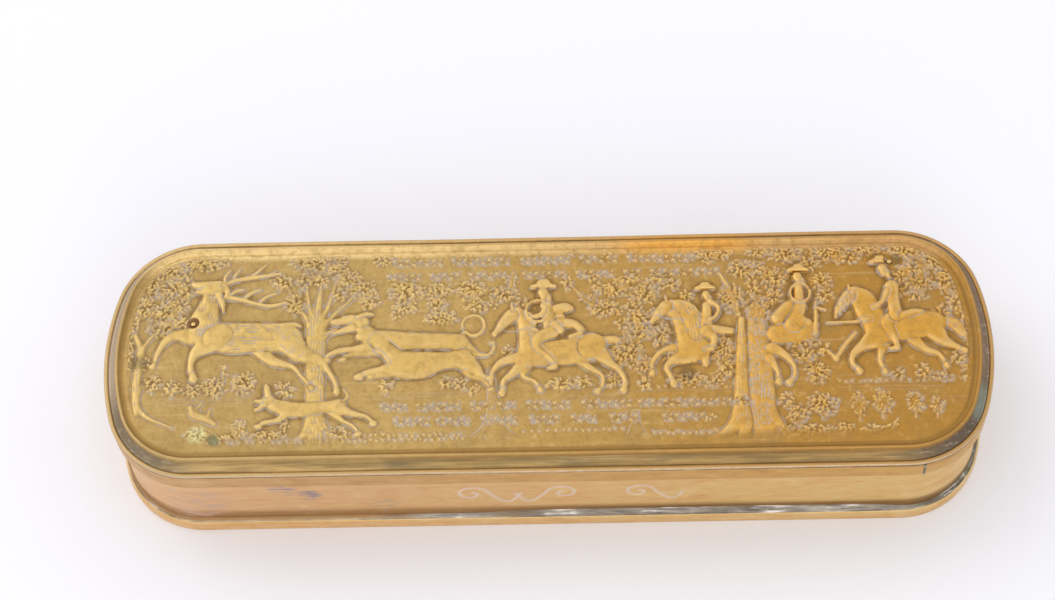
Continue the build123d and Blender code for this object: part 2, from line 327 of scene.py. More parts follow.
def sapling(x, y, rx, ry):
    """A small young tree: a stem, and an upright oval of leaves with a clear edge."""
    raise_shape([[(x, y - ry - 0.9, 0.3), (x, y, 0.16)]], 0.24)
    raise_shape([[(x, y - ry * 0.3, rx * 0.86), (x, y + ry * 0.5, rx * 0.42)]], 0.14,
                base=0.06, edge=0.3)
    foliage(x, y - ry * 0.1, rx * 0.86, ry * 0.9, lift=0.1, mound=0.1)


def grass(x0, x1, y, tall=0.7):
    """A row of short curling tufts along the ground."""
    x = x0
    while x < x1:
        foot = y + SEED.uniform(-0.25, 0.25)
        for lean in (-0.6, 0.5):
            tip = tall * SEED.uniform(0.5, 1)
            raise_shape([[(x, foot, 0.24), (x + lean * tip, foot + tip, 0.14)]], 0.24,
                        base=0.06, dome=0.2, cut=0.05, edge=0.14)
        x += SEED.uniform(0.8, 1.5)


def ground_line(x0, x1, y, drop=0.06):
    """A long shallow ledge in the ground, a little uneven."""
    where = window([(x0, y, 0), (x1, y, 0)], 0.8)
    x, off = GX[where], GY[where] - y - 0.12 * WOBBLE[where]
    ends = np.clip((x - x0) / 2, 0, 1) * np.clip((x1 - x) / 2, 0, 1)
    height[where] -= drop * ends * np.exp(-(off / 0.14) ** 2)
    height[where] += 0.8 * drop * ends * np.exp(-((off - 0.3) / 0.16) ** 2)
    grime[where] = np.maximum(grime[where], 0.45 * ends * np.exp(-(off / 0.14) ** 2))


def sprig(x0, x1, y, tall=0.78):
    """A short running border: a waving vine with pointed leaves on both sides."""
    count = max(2, int(round((x1 - x0) / 1.15)))
    step = (x1 - x0) / count
    stem = [(x0 + (i + 0.5) * step, y + 0.3 * (-1) ** i, 0.1) for i in range(count)]
    if count > 2:
        raise_shape([stem], 0.2, base=0.08, dome=0.14, cut=0.06, edge=0.18)
    for i in range(count):
        x = x0 + (i + 0.5) * step
        up = -1 if i % 2 else 1
        for lean, long, wide in ((0.36, 1.0, 0.27), (-0.34, 0.8, 0.22)):
            tip = (x + lean, y + up * tall * long * 1.15, 0.07)
            raise_shape([[(x - 0.1 * lean, y - up * 0.1, 0.1),
                          (x + 0.35 * lean, y + up * tall * long * 0.6, wide), tip]],
                        0.3, base=0.12, dome=0.2, cut=0.08, edge=0.2)
        raise_shape([[(x + 0.1, y - up * 0.45, 0.18), (x + 0.32, y - up * tall * 0.9, 0.14)]],
                    0.26, base=0.1, dome=0.18, cut=0.07, edge=0.18)


# ------------------------------------------------------------------ the picture

# The hunt runs from right to left: a stag, three hounds, and four riders among
# trees. Points are (x, y, radius) on the lid, in millimetres.

NEAR = dict(base=0.42, dome=0.5, merge=True)
FAR = dict(base=0.14, dome=0.5)


def leg(points, top=0.42, **options):
    """An animal's leg, with a small hoof at its end."""
    raise_shape([points], top, **options)
    (x0, y0, _), (x, y, r) = points[-2:]
    options["merge"] = False
    way = math.atan2(y - y0, x - x0)
    raise_shape([[(x, y, r * 1.1),
                  (x + 0.5 * math.cos(way) - 0.12, y + 0.5 * math.sin(way), r * 1.35)]],
                top * 0.8, **{**options, "cut": 0.03})


def paw(points, top=0.42, **options):
    """A hound's leg, ending in a soft paw."""
    raise_shape([points], top, **options)
    x, y, r = points[-1]
    raise_shape([[(x + 0.1, y, r * 1.3), (x - 0.45, y - 0.15, r * 1.15)]], top * 0.9,
                **{**options, "merge": False, "cut": 0.03})


def stag():
    """A running stag with its head up and its antlers laid back."""
    leg([(-52, 0.6, 1.6), (-49, -2.2, 1.1), (-45.6, -3.3, 0.62), (-43.8, -5.4, 0.45),
         (-42.1, -7.4, 0.5)], **FAR)
    leg([(-64, 3.2, 1.8), (-66.6, 3.5, 1.15), (-68.6, 2.4, 0.85), (-69.8, 0.2, 0.6),
         (-70.5, -2.4, 0.5)], **FAR)
    raise_shape([
        [(-61, 3.4, 2.6), (-57, 2.7, 3.2), (-52, 2.8, 3), (-47.6, 2.7, 3)],
        [(-46.6, 2.2, 2.9), (-44.6, -0.6, 1.9)],
    ], 0.6, base=0.28, hair=0.3, spacing=0.6, dome=0.9)
    raise_shape([
        [(-61.6, 3.4, 2.8), (-61.9, 6, 2.7), (-61.2, 9, 2), (-60.8, 12, 1.4)],
    ], 0.5, base=0.4, hair=0.36, spacing=0.58, dome=0.8, merge=True)
    raise_shape([[(-59.6, 2.6, 2.5), (-58.6, 3.4, 2.3)]], 0.42, base=0.62, dome=1.3, cut=0.04,
                edge=0.14, crown=0.03)
    groove([(-56.6, 4.8), (-56.1, 3.2), (-56.6, 1.4), (-58.2, 0.3)], depth=0.07, pale=0.3)
    leg([(-60, 2, 2), (-62.6, 0.3, 1.3), (-63.7, -1.6, 0.72), (-63.8, -3.6, 0.6),
         (-63.3, -5, 0.66)], **NEAR)
    raise_shape([[(-46.4, 2.6, 2.3), (-45.4, 1, 2.1)]], 0.35, base=0.62, dome=1.2,
                merge=True)
    leg([(-46.6, 1.4, 2.2), (-43.6, -1, 1.6), (-40.6, -2.4, 0.95), (-39.2, -4.2, 0.6),
         (-37.8, -6.6, 0.5), (-37.4, -8.2, 0.52)], **NEAR)
    raise_shape([[(-59.6, 13.2, 1.5), (-61.6, 13.3, 1.25), (-63.6, 13.7, 0.8),
                  (-64.1, 13.9, 0.62)],
                 [(-60.6, 12.4, 1), (-62.4, 12.2, 0.6), (-63.6, 12.3, 0.35)]],
                0.5, base=0.5, dome=0.6, hair=0.03)
    groove([(-64.2, 12.9), (-63, 12.9), (-62.2, 13.1)], depth=0.16, pale=0.9)
    dot(-61, 13.9, 0.2, base=0.95, top=0.12, dome=0.15, cut=0.12, edge=0.2)
    dot(-64.2, 14.1, 0.14, base=0.8, top=0.1, dome=0.15, cut=0.06, edge=0.14)
    raise_shape([[(-59.4, 11.6, 0.75), (-58.8, 10, 0.6), (-58.5, 8.2, 0.24)]], 0.3,
                base=0.7, dome=0.3)
    raise_shape([[(-47.4, 4.9, 0.8), (-45.4, 5.2, 0.5), (-44.4, 4.9, 0.3)]], 0.3, base=0.5,
                merge=True, cut=0.02)
    beams = [
        [(-58.6, 13.6, 0.5), (-56.6, 14.7, 0.42), (-53, 15.3, 0.42), (-48.2, 16, 0.2)],
        [(-58.2, 11.2, 0.55), (-55.6, 10.7, 0.48), (-50.8, 9.3, 0.42), (-47, 9.9, 0.2)],
    ]
    tines = [
        [(-58.4, 14, 0.42), (-58.5, 15.4, 0.4), (-57.5, 16.8, 0.16)],
        [(-57, 14.6, 0.38), (-56.6, 15.8, 0.34), (-55.7, 17.1, 0.14)],
        [(-53.8, 15.4, 0.38), (-52.6, 16.3, 0.36), (-50.9, 18, 0.13)],
        [(-50.8, 15.6, 0.3), (-49.2, 16.4, 0.14)],
        [(-57.4, 11.6, 0.36), (-56.2, 12.5, 0.36), (-54.8, 12.8, 0.14)],
        [(-54.9, 10.7, 0.38), (-53.4, 12.1, 0.4), (-51.7, 12.7, 0.14)],
        [(-52, 9.9, 0.34), (-50.6, 11.2, 0.36), (-48.8, 11.9, 0.13)],
    ]
    for tine in tines + beams:
        raise_shape([tine], 0.34, base=0.3, dome=0.3, edge=0.3)
    raise_shape([[(-58.6, 13.6, 0.6), (-58, 12.4, 0.6), (-58, 11.4, 0.55)]], 0.3,
                base=0.5, dome=0.4, merge=True)


def hounds():
    """Two hounds at full stretch side by side, and a third below the stag."""
    tail = [(-13.1 + 2 * math.cos(a), 4.4 + 2.1 * math.sin(a), 0.34 - 0.03 * a)
            for a in np.linspace(-2.4, 3.4, 14)]
    raise_shape([[(-15.6, 1.6, 0.5), *tail]], 0.35, base=0.2, dome=0.3)
    paw([(-14.6, 0.6, 1), (-12.4, -1.4, 0.62), (-10.6, -1.7, 0.42), (-9.4, -0.6, 0.36),
         (-9.5, 0.8, 0.3)], **FAR)
    paw([(-29, -0.2, 1.2), (-32.4, -1, 0.6), (-35.6, -1.2, 0.42), (-36.4, -2, 0.42)],
        **FAR)
    raise_shape([
        [(-31.4, 1.8, 2), (-28.6, 1.6, 2.1), (-24, 1.4, 1.8), (-19, 1.3, 1.6),
         (-15.6, 0.9, 1.8)],
        [(-31.6, 2.4, 1.8), (-33.4, 4.4, 1.3), (-34.2, 5.4, 1.25)],
    ], 0.6, base=0.26, dome=0.8, hair=0.05, spacing=0.8)
    paw([(-30.4, 1, 1.5), (-33.6, 0, 0.8), (-37, -0.3, 0.55), (-39, -1.2, 0.48),
         (-39.4, -2.2, 0.45)], **NEAR)
    raise_shape([[(-33.2, 5.4, 1.3), (-35.4, 5.9, 1.15), (-37.2, 5.7, 0.72),
                  (-38.4, 5.5, 0.6)]], 0.45, base=0.45, dome=0.5)
    raise_shape([[(-34.8, 4.4, 0.8), (-36.8, 3.8, 0.5), (-38.4, 3.2, 0.3)]], 0.34,
                base=0.4, dome=0.3)
    groove([(-39, 4.4), (-37.4, 4.6), (-36, 4.9)], depth=0.22, pale=0.9)
    raise_shape([[(-33.9, 6.4, 0.5), (-32.4, 7, 0.42), (-31, 7, 0.14)]], 0.26,
                base=0.75, dome=0.3)
    dot(-35.9, 6.3, 0.17, base=0.85, top=0.1, dome=0.12, cut=0.1, edge=0.16)

    paw([(-14.4, -3.6, 1.3), (-14, -5.6, 0.7), (-11.4, -6.8, 0.45), (-9.8, -8.6, 0.42)],
        **FAR)
    paw([(-26.6, -4.6, 1.3), (-29.4, -5.4, 0.6), (-31.2, -5.6, 0.48)], **FAR)
    raise_shape([
        [(-26, -3.4, 2.8), (-22.6, -3.5, 2.75), (-18.4, -2.7, 1.75), (-14.6, -2.5, 2.1)],
        [(-26.8, -2.4, 2), (-28.4, -0.6, 1.6), (-30.4, 1.4, 1.5)],
    ], 0.62, base=0.34, dome=0.9, hair=0.04, spacing=0.9)
    groove([(-23.2, -1.6), (-21.6, -3), (-21.8, -4.8)], depth=0.06, pale=0.3)
    for off in (0, 0.55):
        groove([(-31.2 + off, -0.6 + off), (-29.4 + off, -2 + off),
                (-28.2 + off, -3.8 + off)], depth=0.12, pale=0.8)
    raise_shape([[(-29.6, 1.2, 1.5), (-31.6, 2.2, 1.3), (-33.6, 2.4, 0.8)]], 0.35, base=0.6,
                dome=0.8, merge=True)
    paw([(-26.6, -4, 1.9), (-29.4, -4.4, 0.85), (-32, -4.9, 0.6), (-33.4, -5.6, 0.56)],
        **NEAR)
    paw([(-14.8, -2.8, 2), (-12.8, -4.4, 1.2), (-11.4, -6, 0.6), (-9.9, -6.4, 0.4)],
        **NEAR)
    raise_shape([[(-13, -1.4, 0.5), (-11.2, -1.8, 0.36), (-9.6, -1.4, 0.2)]], 0.3,
                base=0.2, dome=0.3)

    paw([(-38.4, -12, 1.3), (-36.4, -14.2, 0.62), (-34.4, -15.4, 0.4), (-33.2, -17, 0.42)],
        **FAR)
    raise_shape([
        [(-46.4, -12, 1.6), (-43, -12, 1.45), (-39.6, -11.6, 1.15), (-37, -11.4, 1.4)],
        [(-46.8, -11.6, 1.5), (-48.6, -11, 1.3), (-49.6, -10, 1.1)],
    ], 0.5, base=0.3, dome=0.7, hair=0.03)
    paw([(-46.4, -12.8, 1), (-47.6, -14, 0.5), (-50, -14.5, 0.42), (-51, -15.2, 0.4)],
        **NEAR)
    paw([(-37.2, -11.8, 1.3), (-34.6, -13, 0.66), (-32.2, -13.6, 0.42), (-30.6, -15, 0.4)],
        **NEAR)
    raise_shape([[(-36.2, -10.6, 0.4), (-35.4, -9.4, 0.3), (-36.2, -8, 0.16)]], 0.25,
                base=0.2)
    raise_shape([[(-49.4, -10, 0.95), (-50.4, -10.4, 0.7), (-51.8, -10.2, 0.3)],
                 [(-50, -10.8, 0.6), (-51, -11.6, 0.4), (-51.8, -12, 0.25)]],
                0.35, base=0.5, dome=0.4)
    raise_shape([[(-49.6, -9.2, 0.62), (-49.9, -7.8, 0.6), (-50, -6.9, 0.28)]], 0.3,
                base=0.55, dome=0.3)
    groove([(-52, -11), (-51, -10.9), (-50.2, -10.6)], depth=0.16, pale=0.9)


def boot(*points):
    """A rider's thigh, shin and boot."""
    raise_shape([list(points)], 0.45, base=0.72, dome=0.5)
    x, y, r = points[-1]
    raise_shape([[(x, y - 0.2, r), (x - 1.3, y - 0.5, r * 0.6)]], 0.36, base=0.66, dome=0.3)


def coat(*limbs, **options):
    """A rider's coat, with soft folds."""
    raise_shape(list(limbs), 0.5, **{**dict(base=0.6, dome=0.6, hair=0.06, spacing=1),
                                     **options})


def head(x, y, size):
    """A plain small head turned to the left, and hair at its nape."""
    raise_shape([[(x + 0.55 * size, y - 0.1, 0.55 * size),
                  (x + 0.9 * size, y - 1.1 * size, 0.4 * size)]], 0.26, base=0.66, hair=0.08,
                spacing=0.35)
    raise_shape([[(x + 0.05, y - 0.5 * size, 0.5 * size),
                  (x - 0.05, y + 0.45 * size, 0.82 * size)]], 0.4, base=0.72, dome=0.5)
    raise_shape([[(x - 0.62 * size, y, 0.14), (x - 0.76 * size, y - 0.12 * size, 0.12)]], 0.1,
                base=0.74, merge=True)


def hat(x, y, width, rise=0.5):
    """A hat with a turned-up brim."""
    raise_shape([[(x - width * 0.46, y - 0.15, 0.28), (x - width * 0.16, y + 0.1, 0.5),
                  (x + width * 0.2, y + 0.1, 0.5), (x + width * 0.46, y - 0.05, 0.28)],
                 [(x - 0.2, y + 0.45, rise), (x + 0.4, y + 0.5, rise)]],
                0.36, base=0.86, dome=0.3, fuse=0.8)


def horn(x, y, rx, ry):
    """A hunting horn wound in a ring."""
    ring = [(x + rx * math.cos(a), y + ry * math.sin(a), 0.2 + 0.02 * a)
            for a in np.linspace(0.5, 6.5, 18)]
    raise_shape([ring], 0.3, base=0.9, dome=0.22, edge=0.2)


def horse_head(poll, muzzle, ear, size=1):
    """A horse's head between poll and muzzle, with its jaw, eye and ear."""
    (px, py), (mx, my) = poll, muzzle
    dx, dy = mx - px, my - py
    raise_shape([[(px, py, 1.35 * size), (px + dx * 0.45, py + dy * 0.4, 1.05 * size),
                  (px + dx * 0.85, py + dy * 0.85, 0.62 * size), (mx, my, 0.55 * size)]],
                0.45, base=0.5, dome=0.6)
    raise_shape([[(px + 0.2, py + 0.9 * size, 0.34), (*ear, 0.12)]], 0.26, base=0.55)
    dot(px + dx * 0.25 - 0.2, py + dy * 0.25 + 0.25, 0.19, base=0.94, top=0.1, dome=0.12,
        cut=0.1, edge=0.16)
    dot(mx - 0.12, my + 0.1, 0.13, base=0.8, top=0.08, dome=0.1, cut=0.07, edge=0.12)
    groove([(px + dx * 0.62 + 0.7, py + dy * 0.62 - 0.4), (px + dx * 0.5, py + dy * 0.5 + 0.9)],
           depth=0.07)


def first_rider():
    """The rider with a horn, in the middle of the lid."""
    leg([(5.6, -2.6, 1.3), (7.6, -4.6, 0.8), (9.8, -6.2, 0.5), (10, -8, 0.45),
         (9.4, -9, 0.5)], **FAR)
    leg([(-3, -3.4, 1.2), (-4.2, -6, 0.6), (-2.2, -7.2, 0.45), (-1.2, -8.6, 0.5)], **FAR)
    raise_shape([[(10.2, 0.8, 0.8), (11.6, 0.9, 0.85), (12.6, 0.8, 0.8)]], 0.35, base=0.35,
                hair=0.08)
    raise_shape([
        [(-2.8, -1.8, 2.5), (0.8, -1.6, 2.6), (4.6, -1.2, 2.7), (8, -0.5, 2.9)],
        [(-2.8, -0.6, 2.3), (-3.2, 2.6, 1.9), (-4, 5.4, 1.5), (-5.2, 6.8, 1.3)],
    ], 0.62, base=0.3, dome=0.9, hair=0.035, spacing=1)
    raise_shape([[(7.9, -0.6, 2.5), (8.5, 0, 2.2)]], 0.4, base=0.55, dome=1.3, cut=0.04,
                edge=0.14, crown=0.03)
    leg([(9, -1.2, 1.9), (11, -3.6, 1), (12.8, -5.2, 0.62), (13.9, -7.2, 0.5),
         (13.8, -8.8, 0.55)], **NEAR)
    leg([(-3.6, -2.8, 1.8), (-6, -2.6, 0.95), (-8.2, -3.4, 0.7), (-9.6, -5.2, 0.5),
         (-10, -7.2, 0.5)], **NEAR)
    leg([(-4, -3.6, 1.4), (-6.2, -5.8, 0.75), (-7.6, -7, 0.52), (-7.8, -9, 0.52)],
        **NEAR)
    horse_head((-6.2, 6.2), (-9.3, 2.5), (-6.2, 9))
    for lock in range(4):
        y = 6.8 - 1.5 * lock
        raise_shape([[(-3.6 + 0.3 * lock, y, 0.42), (-2.4 + 0.4 * lock, y - 0.9, 0.4)]], 0.24,
                    base=0.72, dome=0.3, hair=0.08, spacing=0.3)
    groove([(-9, 3.6), (-6.4, 3), (-3, 3.4), (-0.6, 4.4)], depth=0.1, pale=0.8)
    coat([(1.6, 7.2, 1), (3.4, 7.6, 1), (4.6, 7.4, 0.5)], [(1.2, 5.2, 1), (2.6, 5.6, 0.9)],
         hair=0.1, spacing=0.6)
    coat([(2.4, 4.4, 1.1), (4.8, 4.2, 0.9), (6.2, 3, 0.8)], hair=0.08)
    raise_shape([[(4.4, 1.6, 0.5), (6.2, 2.2, 0.5)]], 0.3, base=0.7)
    coat([(0.8, 3, 1.35), (0.4, 5.6, 1.3), (0, 8, 1.15)])
    boot((1.2, 2.6, 1.3), (-1.4, 1.4, 1.1), (-1.6, -0.6, 0.75), (0.4, -2.6, 0.6),
         (1.6, -4.2, 0.5))
    raise_shape([[(1.5, 4.1, 0.75), (2.6, 2.9, 0.75)]], 0.3, base=0.95, dome=0.25)
    groove([(1.3, 3.6), (2.2, 2.5)], [(1.9, 4.4), (3, 3.2)], depth=0.1, pale=0.7)
    head(-0.5, 10.2, 1.25)
    hat(-0.5, 12.1, 4.9, rise=1)
    raise_shape([[(0.3, 8.2, 0.66), (-0.8, 6.2, 0.55), (-2.6, 5.6, 0.4)]], 0.3, base=0.95,
                dome=0.35)
    horn(-1.5, 6.9, 2.1, 2.2)


def second_rider():
    """The rider half hidden by the great tree."""
    leg([(24.6, -1.2, 1.3), (22.4, -1, 0.85), (20.2, -2, 0.6), (18.9, -4, 0.5),
         (18.9, -5.6, 0.5)], **FAR)
    raise_shape([
        [(26, -1.6, 2.5), (27.6, -1, 2.2)],
        [(25.8, -0.8, 2.3), (25.2, 2.6, 2.2), (24.2, 5.4, 1.9), (22.6, 7, 1.5)],
    ], 0.62, base=0.3, dome=0.9, hair=0.035, spacing=1)
    raise_shape([[(22.6, 8, 0.8), (25.2, 6.8, 1.6), (26.6, 4, 1.9), (27, 1.6, 1.5)]],
                0.35, base=0.66, dome=0.6, hair=0.3, spacing=0.6, cut=0.04)
    leg([(25, -2.6, 1.7), (22.6, -3.6, 0.85), (21.4, -5, 0.6), (22, -6.6, 0.52),
         (22.5, -7.8, 0.52)], **NEAR)
    raise_shape([[(28.2, -2.6, 1), (28.4, -4.4, 0.6)]], 0.3, base=0.4, merge=True)
    horse_head((21.6, 7.4), (19, 4.4), (21.6, 9.8), size=0.95)
    groove([(19.4, 5.6), (22, 5), (25, 4.4)], depth=0.1, pale=0.8)
    coat([(28.8, 2.4, 1.4), (28.8, 4.8, 1), (29, 7.4, 0.95)])
    coat([(29, 2.6, 1.1), (31, 2.4, 0.9), (33.2, 2.2, 0.6)], hair=0.05)
    boot((28.6, 2.2, 1.2), (30, 0.6, 0.8), (29.6, -1.2, 0.5))
    head(28.9, 9.3, 0.95)
    hat(28.7, 11.1, 3.8, rise=0.66)
    raise_shape([[(29.6, 8.2, 0.55), (31, 6.8, 0.46), (30.4, 5, 0.4), (29.2, 4.4, 0.34)]],
                0.3, base=0.9, dome=0.35)


def third_rider():
    """The rider behind the great tree, and the legs of the horse below."""
    leg([(40.4, -1.4, 1.2), (42.4, -2.8, 0.8), (43.9, -4.8, 0.5), (44.1, -6.8, 0.42),
         (43.4, -8, 0.5)], base=0.3, dome=0.4)
    leg([(39.8, -3.4, 1), (41, -6, 0.5), (41.2, -7.8, 0.5)], base=0.24, dome=0.4)
    raise_shape([[(41.4, 1.4, 2), (44.6, 1.8, 2.2), (47, 2, 1.8)]], 0.5, base=0.28,
                dome=0.9, hair=0.04)
    raise_shape([[(41.6, 4.6, 1.3), (43.4, 6.8, 1.2), (44.4, 8.2, 0.5)]], 0.45, base=0.4,
                hair=0.07, spacing=0.8)
    coat([(44.4, 3.2, 1.7), (45.2, 5.2, 1.3), (45.8, 7, 1.1)], [(45.2, 4, 1.3),
                                                                 (46.8, 3.4, 1)])
    head(45.5, 12.6, 1.1)
    hat(45.6, 14.5, 3.9, rise=0.7)
    coat([(45.6, 8.4, 1), (45.6, 10.8, 0.85)], hair=0.04)
    horn(45.8, 9.6, 1.75, 2)
    raise_shape([[(48.5, 7.8, 0.25), (48.4, 4.6, 0.42), (48.2, 1.4, 0.5)]], 0.34, base=0.5,
                dome=0.3)
    raise_shape([[(48.6, 6.6, 0.3), (50.2, 6.2, 0.3)]], 0.25, base=0.4, dome=0.3)


def fourth_rider():
    """The last rider, at the right, on a horse with a heavy mane."""
    leg([(65.6, -0.2, 1.3), (67.6, -2.2, 0.8), (69.8, -3.2, 0.55), (71, -5.2, 0.5)], **FAR)
    leg([(60.4, -0.8, 1.4), (59.6, -2.8, 0.75), (59.4, -4.6, 0.5), (60.1, -6.2, 0.5)], **FAR)
    raise_shape([[(71.4, 3.6, 0.8), (73.2, 2.6, 1.2), (74.4, 0.8, 0.8)]], 0.35, base=0.3,
                hair=0.2, spacing=0.45)
    raise_shape([
        [(59.4, 1.2, 2.6), (63, 2.2, 2.6), (66.8, 2.8, 2.7), (69.2, 3, 2.5)],
        [(59.2, 2.6, 2.3), (58, 5.6, 2.5), (57, 8, 2.3), (55.6, 9.2, 1.8)],
    ], 0.62, base=0.3, dome=0.9, hair=0.04, spacing=1)
    leg([(69, 2, 2.2), (70.8, -0.4, 1.2), (72.6, -1.6, 0.66), (74.2, -2.4, 0.45)], **NEAR)
    leg([(59, 0.4, 2.2), (56.6, -1.2, 1.1), (54.7, -3, 0.7), (54.4, -4.8, 0.52),
         (55.4, -6, 0.52)], **NEAR)
    horse_head((54.6, 8.8), (52.2, 5.6), (54.6, 11.4))
    for lock in range(5):
        x, y = 55.4 - 0.75 * lock, 9.6 - 0.8 * lock
        raise_shape([[(x, y, 0.5), (x - 0.4, y - 1.8, 0.3)]], 0.26, base=0.72, hair=0.16,
                    spacing=0.32, dome=0.3)
    raise_shape([[(50.4, 3.5, 0.24), (54.4, 3.6, 0.26), (56.6, 3.7, 0.3)]], 0.24, base=0.45,
                dome=0.2)
    raise_shape([[(56.8, 3.9, 0.55), (58, 3.9, 0.55)]], 0.3, base=0.8, dome=0.25)
    boot((62.4, 4.4, 1.4), (61, 3, 1.2), (62, 0.4, 0.8), (62.6, -1.6, 0.55))
    coat([(62.8, 4.6, 1.4), (62.4, 7.4, 1.2), (62.3, 10.6, 1.35)])
    coat([(64, 4.6, 0.9), (66, 5.2, 0.8), (67.4, 5.4, 0.4)])
    head(60.9, 14, 1.1)
    hat(60.4, 15.9, 3.8, rise=0.7)
    raise_shape([[(61.4, 9.6, 0.66), (60.4, 7.4, 0.52), (58.6, 6.2, 0.4)]], 0.3, base=0.9,
                dome=0.35)


